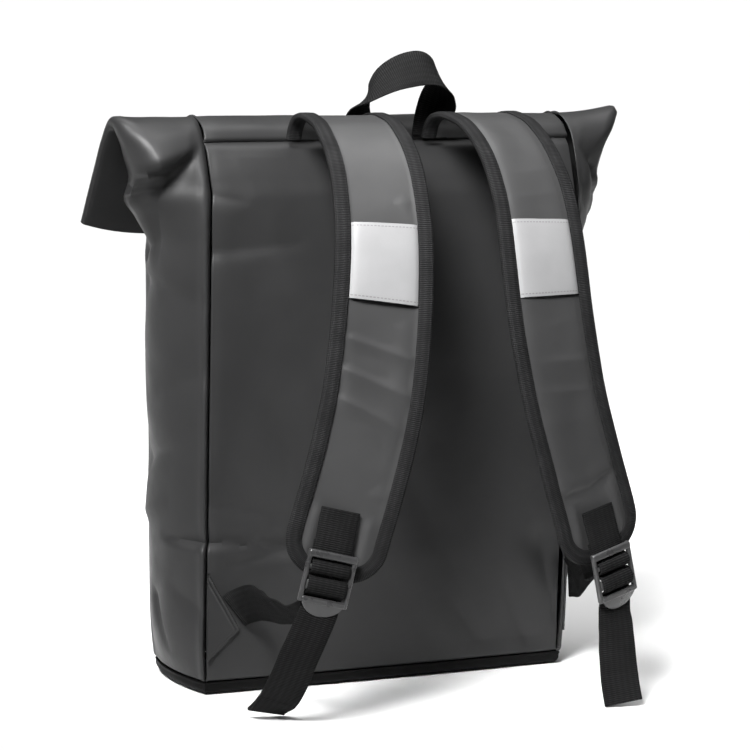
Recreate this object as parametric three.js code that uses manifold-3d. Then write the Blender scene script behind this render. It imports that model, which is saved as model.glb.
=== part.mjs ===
// A roll-top laptop backpack of coated cloth, standing on its base.
// Millimetres. X runs across the back, -Y is the harness side, +Y the outer face, and Z is up.
// The origin is the centre of the flat of the base.

import * as THREE from "three";
import { mergeVertices } from "three/addons/utils/BufferGeometryUtils.js";
import Module from "manifold-3d";

const wasm = await Module();
wasm.setup();

// Driving dimensions of the bag.
const SEAM_GAP = 0.3; // clear space between two sewn pieces
const BACK_PLANE = -47; // Y of the side seams on the harness side
const CLOTH = 3; // coated cloth with its lining
const FLAP_CLOTH = 1.2; // one ply of the roll flap, pressed flat
const BACK_PAD = 4; // padded back panel, away from its seams
const BASE_CLOTH = 4; // stiffened cloth of the base
const BASE_ROUND = 7; // how far the flat of the base lies inside its seam

// Driving dimensions of the harness.
const WEBBING_WIDTH = 29;
const WEBBING_THICK = 1.6;
const STRAP_EDGE = 2; // strap thickness where the binding grips it
const STRAP_CROWN = 2.5; // how far the strap's face swells above that edge
const STRAP_BELLY = 1; // how far its underside swells
const STRAP_END_RADIUS = 26;
const BINDING_LIP = 9.5; // how far the binding reaches over the strap's face
const BINDING_WALL = 1.1;
const PATCH_THICK = 0.6;
const PATCH_TOP = 359;
const PATCH_BOTTOM = 305;
const PATCH_SLANT = { left: 0.05, right: 0.05 }; // how far each patch runs down the strap per millimetre across it
const BUCKLE_WIDTH = 37;
const BUCKLE_THICK = 4;

// Sections of the bag, from the base seam over the top fold to the mouth of the roll flap.
// back and backZ place the harness-side wall, front and frontZ the outer wall, and Y starts at BACK_PLANE.
// half is half the width between the side seams, and the ears are how far each gusset stands out past them.
// fold is 0 on an open gusset and 1 on one pressed flat. The bows are the swell of each wall at mid width.
// cloth is the wall's thickness, and steps is how many rows of facets lead to the next section.
const SECTIONS = [
  { back: 0, backZ: 10, front: 93, frontZ: 10, half: 151, earLeft: 7, earRight: 7,
    fold: 0, backBow: 2, frontBow: 3, cloth: CLOTH, steps: 1 },
  { back: 0, backZ: 40, front: 97, frontZ: 40, half: 152, earLeft: 13, earRight: 13,
    fold: 0, backBow: 3, frontBow: 4, cloth: CLOTH, steps: 2 },
  { back: 0, backZ: 130, front: 102, frontZ: 130, half: 152.5, earLeft: 16, earRight: 17,
    fold: 0, backBow: 4, frontBow: 6, cloth: CLOTH, steps: 2 },
  { back: 0, backZ: 240, front: 105, frontZ: 240, half: 153, earLeft: 21, earRight: 17,
    fold: 0, backBow: 4, frontBow: 6, cloth: CLOTH, steps: 2 },
  { back: 0, backZ: 305, front: 104, frontZ: 305, half: 153.5, earLeft: 26, earRight: 16,
    fold: 0, backBow: 3, frontBow: 4, cloth: CLOTH, steps: 1 },
  { back: 0, backZ: 333, front: 99, frontZ: 331, half: 154, earLeft: 28, earRight: 25,
    fold: 0.08, backBow: 2.5, frontBow: 2, cloth: CLOTH, steps: 1 },
  { back: 0, backZ: 352, front: 91, frontZ: 349, half: 154, earLeft: 38, earRight: 35,
    fold: 0.2, backBow: 2, frontBow: 1, cloth: CLOTH, steps: 1 },
  { back: 0.5, backZ: 368, front: 80, frontZ: 366, half: 154, earLeft: 50, earRight: 38,
    fold: 0.4, backBow: 2, frontBow: 0.5, cloth: CLOTH, steps: 1 },
  { back: 4.5, backZ: 382, front: 70.5, frontZ: 381, half: 154, earLeft: 47, earRight: 40,
    fold: 0.55, backBow: 2, frontBow: 0, cloth: CLOTH, steps: 1 },
  { back: 9.5, backZ: 396, front: 60.5, frontZ: 395.5, half: 154, earLeft: 52, earRight: 41,
    fold: 0.7, backBow: 1.5, frontBow: 0, cloth: CLOTH, steps: 1 },
  { back: 16, backZ: 410, front: 51, frontZ: 407.5, half: 154, earLeft: 57, earRight: 46,
    fold: 0.85, backBow: 1, frontBow: 0, cloth: 2, steps: 1 },
  { back: 23, backZ: 418.4, front: 47.3, frontZ: 412, half: 153.5, earLeft: 60, earRight: 50,
    fold: 0.95, backBow: 0.5, frontBow: 0, cloth: FLAP_CLOTH, steps: 1 },
  { back: 31, backZ: 423.8, front: 45.8, frontZ: 414.6, half: 153, earLeft: 61.5, earRight: 54,
    fold: 1, backBow: 0, frontBow: 0, cloth: FLAP_CLOTH, steps: 1 },
  { back: 40, backZ: 426, front: 45.8, frontZ: 416.2, half: 153, earLeft: 62, earRight: 55,
    fold: 1, backBow: 0, frontBow: 0, cloth: FLAP_CLOTH, steps: 1 },
  { back: 48.5, backZ: 424.4, front: 47.4, frontZ: 417.2, half: 153, earLeft: 62, earRight: 56,
    fold: 1, backBow: 0, frontBow: 0, cloth: FLAP_CLOTH, steps: 1 },
  { back: 55.5, backZ: 419, front: 51.2, frontZ: 415.8, half: 153, earLeft: 62, earRight: 57,
    fold: 1, backBow: 0, frontBow: 0, cloth: FLAP_CLOTH, steps: 1 },
  { back: 63, backZ: 408.5, front: 59.4, frontZ: 406.1, half: 153, earLeft: 62, earRight: 58,
    fold: 1, backBow: 0, frontBow: 0, cloth: FLAP_CLOTH, steps: 2 },
  { back: 111, backZ: 335, front: 107.4, frontZ: 332.7, half: 153, earLeft: 60, earRight: 58,
    fold: 1, backBow: 0, frontBow: 0, cloth: FLAP_CLOTH, steps: 1 },
];
const COLLAR_SEAM = 10; // the section where the back panel ends and the collar starts
const FLAP_START = 16; // the section where the flap leaves the fold
const MOUTH = SECTIONS.length - 1;
const CORNER_LIFT = 11; // how far the flap's corners lie up from its lower edge
const EAR_RISE = { left: 0, right: 6 }; // how far each folded ear stands up at its tip

// Places round a section, as shares of each wall.
const BACK_SHARES = [-1, -0.9, -0.68, -0.4, -0.13, 0.13, 0.4, 0.68, 0.9, 1];
const FRONT_SHARES = [-1, -0.82, -0.5, -0.17, 0.17, 0.5, 0.82, 1];
const GUSSET_SHARES = [0, 0.1, 0.22, 0.34, 0.42, 0.47, 0.53, 0.58, 0.66, 0.78, 0.9, 1];
const RIDGE_START = 0.42; // where a folded gusset starts to turn round its ridge
const RIDGE_SPAN = 0.16;

// Main dents of the walls: wall, place across it and height at each end of the valley, its half width and depth.
const DENTS = [
  { wall: "left", fromShare: 0.5, fromZ: 369, toShare: 0.1, toZ: 399, spread: 8, depth: 8 },
  { wall: "right", fromShare: 0.36, fromZ: 386, toShare: 0.12, toZ: 402, spread: 8, depth: 6 },
  { wall: "left", fromShare: 0.9, fromZ: 318, toShare: 0.6, toZ: 312, spread: 9, depth: 3 },
  { wall: "left", fromShare: 0.95, fromZ: 168, toShare: 0.6, toZ: 176, spread: 12, depth: 4 },
  { wall: "left", fromShare: 0.1, fromZ: 112, toShare: 0.6, toZ: 120, spread: 12, depth: 4 },
  { wall: "back", fromShare: -0.97, fromZ: 113, toShare: -0.78, toZ: 108, spread: 10, depth: 3 },
  { wall: "back", fromShare: -0.95, fromZ: 334, toShare: -0.7, toZ: 322, spread: 12, depth: 3 },
  { wall: "back", fromShare: 0.1, fromZ: 150, toShare: 0.45, toZ: 60, spread: 40, depth: 3 },
];

// The strap's route: out is from BACK_PLANE towards the wearer, half is half its width without the binding, and
// swell is the share of full padding. Each strap has its own distance x from the mid plane and its own turn in degrees.
const STRAP_ROUTE = [
  { out: -10, z: 411.3, half: 32, swell: 0.04, xLeft: 56, turnLeft: 0, xRight: 56, turnRight: 0 },
  { out: -6.5, z: 420.5, half: 32, swell: 0.2, xLeft: 56, turnLeft: 0, xRight: 56, turnRight: 0 },
  { out: 2, z: 427.5, half: 32, swell: 0.5, xLeft: 56, turnLeft: 3, xRight: 56.5, turnRight: 1 },
  { out: 14, z: 429.5, half: 32, swell: 0.8, xLeft: 55.8, turnLeft: 6, xRight: 57.5, turnRight: 2 },
  { out: 33, z: 426.5, half: 32.3, swell: 1, xLeft: 55.8, turnLeft: 9, xRight: 59.5, turnRight: 4 },
  { out: 55, z: 415.5, half: 32.7, swell: 1, xLeft: 56.8, turnLeft: 12, xRight: 61.5, turnRight: 5 },
  { out: 74, z: 399, half: 33, swell: 1, xLeft: 58.5, turnLeft: 14, xRight: 62.5, turnRight: 4 },
  { out: 88, z: 378, half: 33.6, swell: 1, xLeft: 60.5, turnLeft: 14, xRight: 64, turnRight: 3 },
  { out: 100, z: 348, half: 34.5, swell: 1, xLeft: 63, turnLeft: 13, xRight: 65, turnRight: 3 },
  { out: 110, z: 300, half: 35.6, swell: 1, xLeft: 68, turnLeft: 12, xRight: 68, turnRight: 5 },
  { out: 118, z: 240, half: 36.4, swell: 1, xLeft: 77, turnLeft: 12, xRight: 77, turnRight: 9 },
  { out: 123, z: 180, half: 36.6, swell: 0.9, xLeft: 93, turnLeft: 11, xRight: 93, turnRight: 11 },
  { out: 124.5, z: 142, half: 36.6, swell: 0.2, xLeft: 105, turnLeft: 11, xRight: 105, turnRight: 11 },
  { out: 125, z: 112, half: 36.6, swell: 0.04, xLeft: 113, turnLeft: 11, xRight: 113, turnRight: 11 },
];
const STRAP_STEPS = 30;

// Where each ladder-lock hangs: the middle of its top bar, its roll and its yaw in degrees.
const BUCKLES = {
  left: { x: -114, out: 133.6, z: 128.5, roll: 13, yaw: 11 },
  right: { x: 113, out: 134.4, z: 117, roll: 13, yaw: 11 },
};
// The buckle's bars, from its top bar down: height, half height, and how far each reaches behind and in front.
const BUCKLE_BARS = [
  { up: 0, half: 2.8, behind: 1.4, front: 2.6 },
  { up: -9.5, half: 1.9, behind: 1.5, front: 1.5 },
  { up: -22.5, half: 3.6, behind: 1.6, front: 2 },
  { up: -33, half: 2.2, behind: 1.2, front: 2.6 },
];
const BUCKLE_RAIL = 3.4;
const LIFT_TAB_TIP = -44.5;

// The webbing inside the ladder-lock: over the third bar and down behind the lowest one.
const LOCK_ROUTE = [
  { up: -34, out: -6.6 },
  { up: -27, out: -5.2 },
  { up: -20, out: -4.2 },
  { up: -17.4, out: -2.4 },
  { up: -16.9, out: 0.2 },
  { up: -18.6, out: 2.8 },
  { up: -22.5, out: 3.7 },
  { up: -26.4, out: 2.6 },
  { up: -28.2, out: 0 },
  { up: -29.6, out: -2.2 },
  { up: -33, out: -3.3 },
  { up: -37, out: -3.7 },
];
// The tab that is sewn on the strap. It goes down behind the top bar, round the second one and back to the strap.
const TAB_ROUTE = [
  { up: 33, out: -6.9 },
  { up: 26, out: -6.5 },
  { up: 16, out: -5.2 },
  { up: 8, out: -4.2 },
  { up: 0, out: -3.1 },
  { up: -3.8, out: -2.2 },
  { up: -5.2, out: 0 },
  { up: -6.6, out: 2.2 },
  { up: -9.5, out: 3.1 },
  { up: -12.3, out: 2.1 },
  { up: -13.3, out: 0 },
  { up: -12.4, out: -2.2 },
  { up: -9.5, out: -3.6 },
  { up: -4, out: -4.6 },
  { up: 2, out: -5.4 },
  { up: 9, out: -6.6 },
];

// The adjuster webbing from each corner anchor to its ladder-lock.
// roll turns its width from X towards Z, and yaw from X towards the wearer, both in degrees.
const ADJUSTERS = {
  left: [
    { x: -129.9, out: 3.4, z: 63.3, roll: -65, yaw: 0 },
    { x: -127, out: 6, z: 66, roll: -64, yaw: 0 },
    { x: -124.5, out: 17, z: 71, roll: -66, yaw: 2 },
    { x: -126, out: 36, z: 76, roll: -68, yaw: 4 },
    { x: -128, out: 60, z: 78, roll: -60, yaw: 8 },
    { x: -128, out: 86, z: 80, roll: -42, yaw: 11 },
    { x: -124, out: 110, z: 84, roll: -20, yaw: 11 },
  ],
  right: [
    { x: 168.9, out: -20, z: 62, roll: -88, yaw: 0 },
    { x: 166.1, out: -12, z: 64, roll: -86, yaw: 0 },
    { x: 162.2, out: -3, z: 66, roll: -82, yaw: 0 },
    { x: 156.4, out: 9, z: 67.5, roll: -70, yaw: -4 },
    { x: 149, out: 24, z: 73, roll: -56, yaw: -8 },
    { x: 142.5, out: 42, z: 79, roll: -42, yaw: -9 },
    { x: 135, out: 66, z: 84, roll: -22, yaw: -10 },
    { x: 127, out: 90, z: 85, roll: -2, yaw: -11 },
    { x: 121, out: 111, z: 81, roll: 10, yaw: -11 },
  ],
};
// The free tails below the ladder-locks, down to the floor.
const TAILS = {
  left: [
    { x: -123.5, out: 131, z: 88, roll: -14, yaw: 11 },
    { x: -129, out: 127, z: 70, roll: -15, yaw: 13 },
    { x: -133, out: 120, z: 53, roll: -13, yaw: 17 },
    { x: -134.5, out: 110, z: 36, roll: -9, yaw: 22 },
    { x: -135.5, out: 95, z: 18, roll: -5, yaw: 27 },
    { x: -136.5, out: 76, z: 5, roll: 4, yaw: 26 },
  ],
  right: [
    { x: 120.2, out: 131.4, z: 72, roll: 9, yaw: -8 },
    { x: 121.2, out: 133, z: 58, roll: 5, yaw: 0 },
    { x: 122, out: 135, z: 40, roll: 3, yaw: 8 },
    { x: 124, out: 137, z: 19, roll: 1, yaw: 13 },
    { x: 126.5, out: 139, z: 2.8, roll: 0, yaw: 15 },
  ],
};

// The corner anchor: a triangle whose long edge is in a side seam. The left one lies on the back panel and the
// right one round the seam on its gusset. reach is the distance from the seam along that wall.
const ANCHOR_CORNERS = [
  { reach: 1.5, z: 93 },
  { reach: 27.5, z: 49 },
  { reach: 1.5, z: 26 },
];
const ANCHOR_WALLS = { left: { wall: "back", lift: SEAM_GAP }, right: { wall: "right", lift: 2.5 * SEAM_GAP } };
const ANCHOR_THICK = 2.4;
const ANCHOR_REACH = [0, 0.33, 0.67, 1];

// The haul loop: its route from the left leg to the right one, and the twist of its band on the way, in degrees.
const LOOP_ROUTE = [
  { x: -30.5, out: -13.6, z: 411.5, twist: 0 },
  { x: -31, out: -12.3, z: 420, twist: 8 },
  { x: -30.5, out: -9, z: 433.5, twist: 36 },
  { x: -25, out: -2, z: 445, twist: 88 },
  { x: -13.5, out: 4, z: 456.5, twist: 122 },
  { x: 0, out: 8, z: 462.5, twist: 146 },
  { x: 13, out: 9, z: 464, twist: 152 },
  { x: 25, out: 7, z: 459.5, twist: 126 },
  { x: 32, out: 1, z: 448, twist: 82 },
  { x: 33, out: -8, z: 434, twist: 32 },
  { x: 31.5, out: -12.4, z: 421, twist: 3 },
  { x: 30.5, out: -13.6, z: 411.5, twist: 0 },
];

// The fastening of the roll flap on the outer face.
const CLOSURE_WIDTH = 25;
const CLASP = { width: 36, height: 44, thick: 9, z: 236, corner: 6, slot: 3.2, wall: 1.6 };
const CLASP_RAISE = 2; // how far the clasp holds the closing strap off the outer face

const COLOURS = {
  cloth: { color: 0x2b2b2c, roughness: 0.62, metalness: 0 },
  base: { color: 0x141414, roughness: 0.7, metalness: 0 },
  strap: { color: 0x3a3a3b, roughness: 0.6, metalness: 0 },
  webbing: { color: 0x161616, roughness: 0.85, metalness: 0 },
  binding: { color: 0x2e2e2f, roughness: 0.8, metalness: 0 },
  patch: { color: 0xcfcfcf, roughness: 0.45, metalness: 0.1 },
  plastic: { color: 0x232325, roughness: 0.45, metalness: 0 },
};

const radians = THREE.MathUtils.degToRad;
const vec = (x, y, z) => new THREE.Vector3(x, y, z);
const along = (point, direction, distance) => point.clone().addScaledVector(direction, distance);

// A table's row at a fractional index, each column eased by a monotone cubic.
function rowAt(table, index) {
  const last = table.length - 1;
  const i = Math.min(Math.floor(index), last - 1);
  const t = index - i;
  const row = {};
  for (const key of Object.keys(table[0])) {
    const value = (k) => table[THREE.MathUtils.clamp(k, 0, last)][key];
    const slope = (k) => {
      if (k < 1 || k >= last) return value(Math.min(k + 1, last)) - value(Math.max(k - 1, 0));
      const before = value(k) - value(k - 1);
      const after = value(k + 1) - value(k);
      return before * after <= 0 ? 0 : (2 * before * after) / (before + after);
    };
    const t2 = t * t;
    const t3 = t2 * t;
    row[key] =
      value(i) * (2 * t3 - 3 * t2 + 1) +
      slope(i) * (t3 - 2 * t2 + t) +
      value(i + 1) * (3 * t2 - 2 * t3) +
      slope(i + 1) * (t3 - t2);
  }
  return row;
}

// How far the gusset is out at its ridge and across its depth, at a share of its way round.
function gussetProfile(share, fold, tip) {
  const turn = THREE.MathUtils.clamp((share - RIDGE_START) / RIDGE_SPAN, 0, 1) * Math.PI;
  const reach = Math.min(share, 1 - share) / RIDGE_START;
  const foldedOut = turn > 0 && turn < Math.PI ? 1 - tip + tip * Math.sin(turn) : (1 - tip) * Math.min(1, reach);
  const foldedDepth = (1 - Math.cos(turn)) / 2;
  return {
    out: (1 - fold) * 4 * share * (1 - share) + fold * foldedOut,
    depth: (1 - fold) * share + fold * foldedDepth,
  };
}

// How deep the dents of a wall are at one place on it.
function dentDepth(wall, share, point) {
  let depth = 0;
  for (const dent of DENTS) {
    if (dent.wall !== wall) continue;
    const span = wall === "back" ? SECTIONS[1].half : SECTIONS[1].front;
    const from = new THREE.Vector2(dent.fromShare * span, dent.fromZ);
    const to = new THREE.Vector2(dent.toShare * span, dent.toZ);
    const here = new THREE.Vector2(share * span, point.z);
    const run = to.clone().sub(from);
    const t = THREE.MathUtils.clamp(here.clone().sub(from).dot(run) / run.lengthSq(), 0, 1);
    const away = here.distanceTo(from.addScaledVector(run, t)) / dent.spread;
    depth += dent.depth * Math.exp(-away * away);
  }
  return depth;
}

// One point of the bag's outer surface: a wall, a fractional section and a share across that wall.
function skinPoint(wall, section, share) {
  const row = rowAt(SECTIONS, section);
  const backPoint = vec(0, BACK_PLANE + row.back, row.backZ);
  const frontPoint = vec(0, BACK_PLANE + row.front, row.frontZ);
  const depth = frontPoint.clone().sub(backPoint);
  const inward = depth.clone().normalize();
  if (wall === "back" || wall === "front") {
    const swell = 1 - share * share;
    const base = wall === "back" ? backPoint : frontPoint;
    const bow = wall === "back" ? -row.backBow : row.frontBow;
    const point = along(base, inward, bow * swell);
    point.x = share * row.half;
    const dent = section < COLLAR_SEAM ? dentDepth(wall, share, point) : 0;
    return along(point, inward, wall === "back" ? dent : -dent);
  }
  const sign = wall === "left" ? -1 : 1;
  const ear = wall === "left" ? row.earLeft : row.earRight;
  const profile = gussetProfile(share, row.fold, depth.length() / 2 / ear);
  const point = backPoint.clone().addScaledVector(depth, profile.depth);
  const dent = section < COLLAR_SEAM + 1 ? dentDepth(wall, share, point) : 0;
  point.x = sign * (row.half + ear * profile.out - dent);
  point.z += EAR_RISE[wall] * row.fold * profile.out * profile.out;
  const lifted = THREE.MathUtils.clamp((section - FLAP_START) / (MOUTH - FLAP_START), 0, 1);
  const upFlap = vec(0, SECTIONS[FLAP_START].back - SECTIONS[MOUTH].back,
    SECTIONS[FLAP_START].backZ - SECTIONS[MOUTH].backZ).normalize();
  return point.addScaledVector(upFlap, CORNER_LIFT * lifted * profile.out * profile.out);
}

// The whole surface as loops of points, one per row of facets, each walked left seam, back, right, front, left.
const WALLS = [
  { name: "back", shares: BACK_SHARES },
  { name: "right", shares: GUSSET_SHARES },
  { name: "front", shares: FRONT_SHARES.slice().reverse() },
  { name: "left", shares: GUSSET_SHARES.slice().reverse() },
];
const ROWS = SECTIONS.flatMap(({ steps }, i) =>
  i === MOUTH ? [i] : Array.from({ length: steps }, (_, k) => i + k / steps));
const LOOPS = ROWS.map((section) =>
  WALLS.flatMap(({ name, shares }) => shares.slice(0, -1).map((share) => skinPoint(name, section, share))));
const LOOP_SIZE = LOOPS[0].length;
const WALL_START = {};
WALLS.reduce((start, { name, shares }) => {
  WALL_START[name] = start;
  return start + shares.length - 1;
}, 0);

// The inner surface: each point moved in along its normal, further at a corner so that both walls keep their thickness.
function innerPoint(row, i) {
  const here = LOOPS[row][i];
  const before = LOOPS[row][(i + LOOP_SIZE - 1) % LOOP_SIZE].clone().sub(here);
  const after = LOOPS[row][(i + 1) % LOOP_SIZE].clone().sub(here);
  const up = LOOPS[Math.min(row + 1, LOOPS.length - 1)][i].clone().sub(LOOPS[Math.max(row - 1, 0)][i]);
  const normalBefore = before.clone().negate().cross(up).normalize();
  const normalAfter = after.clone().cross(up).normalize();
  const normal = normalBefore.clone().add(normalAfter).normalize();
  const mitre = 1 / Math.max(0.6, normal.dot(normalAfter));
  return { normal, mitre };
}

function wallThickness(wall, row, column, columns) {
  const cloth = rowAt(SECTIONS, ROWS[row]).cloth;
  const atEdge = column === 0 || column === columns - 1 || row === 0 || ROWS[row] >= COLLAR_SEAM;
  return wall === "back" && !atEdge ? BACK_PAD : cloth;
}

// A closed solid between two grids of points, with its four edges walled.
function slab(outer, inner) {
  const rows = outer.length;
  const columns = outer[0].length;
  const points = [...outer.flat(), ...inner.flat()];
  const at = (side, r, c) => side * rows * columns + r * columns + c;
  const faces = [];
  const quad = (a, b, c, d) => faces.push(a, b, c, a, c, d);
  for (let r = 0; r < rows - 1; r++) {
    for (let c = 0; c < columns - 1; c++) {
      quad(at(0, r, c), at(0, r, c + 1), at(0, r + 1, c + 1), at(0, r + 1, c));
      quad(at(1, r, c), at(1, r + 1, c), at(1, r + 1, c + 1), at(1, r, c + 1));
    }
    quad(at(0, r, 0), at(0, r + 1, 0), at(1, r + 1, 0), at(1, r, 0));
    quad(at(0, r, columns - 1), at(1, r, columns - 1), at(1, r + 1, columns - 1), at(0, r + 1, columns - 1));
  }
  for (let c = 0; c < columns - 1; c++) {
    quad(at(0, 0, c), at(1, 0, c), at(1, 0, c + 1), at(0, 0, c + 1));
    quad(at(0, rows - 1, c), at(0, rows - 1, c + 1), at(1, rows - 1, c + 1), at(1, rows - 1, c));
  }
  return closedGeometry(points, faces);
}

// A solid swept through a list of closed sections, each with the same number of points, with flat ends.
// The sides listed in turned are split along their other diagonal, which keeps the faces of a twisted band parallel.
function sweep(sections, caps, turned = []) {
  const size = sections[0].length;
  const points = sections.flat();
  const faces = [];
  for (let s = 0; s < sections.length - 1; s++) {
    for (let i = 0; i < size; i++) {
      const j = (i + 1) % size;
      const far = (s + 1) * size + (turned.includes(i) ? i : j);
      faces.push(s * size + i, s * size + j, far);
      faces.push(turned.includes(i) ? s * size + j : s * size + i, (s + 1) * size + j, (s + 1) * size + i);
    }
  }
  const end = (sections.length - 1) * size;
  for (const [a, b, c] of caps) {
    faces.push(a, c, b);
    faces.push(end + a, end + b, end + c);
  }
  return closedGeometry(points, faces);
}

// The triangles that fill a flat outline, wound the same way as the outline.
function capTriangles(outline) {
  const shape = outline.map(([x, y]) => new THREE.Vector2(x, y));
  const sense = Math.sign(THREE.ShapeUtils.area(shape));
  return THREE.ShapeUtils.triangulateShape(shape, []).map(([a, b, c]) =>
    Math.sign(THREE.ShapeUtils.area([shape[a], shape[b], shape[c]])) === sense ? [a, b, c] : [a, c, b]);
}

// Points and faces as a geometry whose faces point outwards.
function closedGeometry(points, faces) {
  const volume = faces.reduce((sum, _, i) => {
    if (i % 3) return sum;
    const [a, b, c] = [points[faces[i]], points[faces[i + 1]], points[faces[i + 2]]];
    return sum + a.dot(b.clone().cross(c));
  }, 0);
  const index = volume > 0 ? faces : faces.slice().reverse();
  return new THREE.BufferGeometry().setFromPoints(points).setIndex(index);
}

function solidOf(geometry) {
  const bare = geometry.clone();
  bare.deleteAttribute("normal");
  bare.deleteAttribute("uv");
  const merged = mergeVertices(bare, 1e-4);
  return new wasm.Manifold(new wasm.Mesh({
    numProp: 3,
    vertProperties: merged.attributes.position.array,
    triVerts: new Uint32Array(merged.index.array),
  }));
}

function geometryOf(solid) {
  const mesh = solid.getMesh();
  return new THREE.BufferGeometry()
    .setAttribute("position", new THREE.BufferAttribute(mesh.vertProperties, 3))
    .setIndex(new THREE.BufferAttribute(mesh.triVerts, 1));
}

// The bag's walls: a patch of the surface, drawn back from its seams by half the seam gap.
function wallGeometry(wall, firstRow, lastRow) {
  const { shares } = WALLS.find(({ name }) => name === wall);
  const columns = shares.length;
  const outer = [];
  const inner = [];
  for (let row = firstRow; row <= lastRow; row++) {
    const points = shares.map((_, c) => LOOPS[row][(WALL_START[wall] + c) % LOOP_SIZE].clone());
    const inside = points.map((point, c) => {
      const { normal, mitre } = innerPoint(row, (WALL_START[wall] + c) % LOOP_SIZE);
      return along(point, normal, -mitre * wallThickness(wall, row, c, columns));
    });
    outer.push(points);
    inner.push(inside);
  }
  for (const grid of [outer, inner]) {
    drawBackColumns(grid);
    if (lastRow < LOOPS.length - 1) drawBack(grid[grid.length - 1], grid[grid.length - 2]);
    if (firstRow > 0) drawBack(grid[0], grid[1]);
  }
  return slab(outer, inner);
}

function drawBack(edge, next) {
  edge.forEach((point, i) => {
    const direction = next[i].clone().sub(point).normalize();
    point.addScaledVector(direction, SEAM_GAP / 2);
  });
}

function drawBackColumns(grid) {
  const last = grid[0].length - 1;
  for (const row of grid) {
    const first = row[1].clone().sub(row[0]).normalize();
    const final = row[last - 1].clone().sub(row[last]).normalize();
    row[0].addScaledVector(first, SEAM_GAP * 0.7);
    row[last].addScaledVector(final, SEAM_GAP * 0.7);
  }
}

// The base: a shallow tray under the walls, with a rounded lower edge and a flat that it stands on.
function baseGeometry() {
  const rim = LOOPS[0];
  const middle = vec(0, BACK_PLANE + SECTIONS[0].front / 2, 0);
  const height = SECTIONS[0].backZ - SEAM_GAP;
  const ring = (inset, z) => rim.map((point, i) => {
    const { normal, mitre } = innerPoint(0, i);
    const flatNormal = normal.clone().setZ(0).normalize();
    return along(point, flatNormal, -inset * mitre).setZ(z);
  });
  const angles = [0, 30, 60, 90].map(radians);
  const outside = angles.map((a) => ring(BASE_ROUND * (1 - Math.cos(a)), height * (1 - Math.sin(a))));
  const insideHeight = height - BASE_CLOTH;
  const inside = angles.map((a) =>
    ring(BASE_CLOTH + (BASE_ROUND - BASE_CLOTH) * (1 - Math.cos(a)), BASE_CLOTH + insideHeight * (1 - Math.sin(a))));
  const rings = [...outside.slice().reverse(), ...inside];
  const points = [...rings.flat(), middle.clone().setZ(0), middle.clone().setZ(BASE_CLOTH)];
  const faces = [];
  const total = rings.length * LOOP_SIZE;
  for (let r = 0; r < rings.length - 1; r++) {
    for (let i = 0; i < LOOP_SIZE; i++) {
      const j = (i + 1) % LOOP_SIZE;
      faces.push(r * LOOP_SIZE + i, r * LOOP_SIZE + j, (r + 1) * LOOP_SIZE + j);
      faces.push(r * LOOP_SIZE + i, (r + 1) * LOOP_SIZE + j, (r + 1) * LOOP_SIZE + i);
    }
  }
  for (let i = 0; i < LOOP_SIZE; i++) {
    const j = (i + 1) % LOOP_SIZE;
    const top = (rings.length - 1) * LOOP_SIZE;
    faces.push(total, j, i);
    faces.push(total + 1, top + i, top + j);
  }
  return closedGeometry(points, faces);
}

// The strap's own frame at a distance along it: middle, direction, width and outward face.
function strapFrames(side) {
  const last = STRAP_ROUTE.length - 1;
  const fine = 12 * last;
  const frames = [];
  let travelled = 0;
  let previous = null;
  for (let k = 0; k <= fine; k++) {
    const row = rowAt(STRAP_ROUTE, (k / fine) * last);
    const x = side === "left" ? -row.xLeft : row.xRight;
    const middle = vec(x, BACK_PLANE - row.out, row.z);
    if (previous) travelled += middle.distanceTo(previous);
    previous = middle;
    frames.push({ middle, row, travelled });
  }
  frames.forEach((frame, k) => {
    const ahead = frames[Math.min(k + 1, fine)].middle;
    const behind = frames[Math.max(k - 1, 0)].middle;
    frame.direction = ahead.clone().sub(behind).normalize();
    const yaw = radians(side === "left" ? -frame.row.turnLeft : frame.row.turnRight);
    const across = vec(Math.cos(yaw), Math.sin(yaw), 0);
    frame.width = across.addScaledVector(frame.direction, -across.dot(frame.direction)).normalize();
    frame.out = frame.width.clone().cross(frame.direction.clone().negate()).normalize();
  });
  return frames;
}

function frameAt(frames, distance) {
  const length = frames[frames.length - 1].travelled;
  const wanted = THREE.MathUtils.clamp(distance, 0, length);
  let k = frames.findIndex((frame) => frame.travelled >= wanted);
  k = Math.max(k, 1);
  const a = frames[k - 1];
  const b = frames[k];
  const t = (wanted - a.travelled) / (b.travelled - a.travelled);
  const blend = (key) => a[key].clone().lerp(b[key], t);
  return {
    middle: blend("middle"),
    width: blend("width").normalize(),
    out: blend("out").normalize(),
    half: THREE.MathUtils.lerp(a.row.half, b.row.half, t),
    swell: THREE.MathUtils.lerp(a.row.swell, b.row.swell, t),
    beyond: distance - wanted,
    direction: blend("direction").normalize(),
  };
}

// A point of the strap: distance along it, distance across it and height above its middle surface.
function strapPoint(frames, distance, across, height) {
  const frame = frameAt(frames, distance);
  return frame.middle.clone()
    .addScaledVector(frame.direction, frame.beyond)
    .addScaledVector(frame.width, across)
    .addScaledVector(frame.out, height);
}

// Half the strap's width at a distance along it, drawn in round its end.
function strapHalf(frames, distance) {
  const length = frames[frames.length - 1].travelled;
  const { half } = frameAt(frames, distance);
  const into = distance - (length - STRAP_END_RADIUS);
  if (into <= 0) return half;
  return half - STRAP_END_RADIUS + Math.sqrt(Math.max(0, STRAP_END_RADIUS ** 2 - into ** 2));
}

function strapStations(frames) {
  const length = frames[frames.length - 1].travelled;
  const straight = length - STRAP_END_RADIUS;
  const stations = Array.from({ length: STRAP_STEPS + 1 }, (_, k) => (straight * k) / STRAP_STEPS);
  for (const degrees of [22, 45, 67, 90]) stations.push(straight + STRAP_END_RADIUS * Math.sin(radians(degrees)));
  return stations;
}

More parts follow.
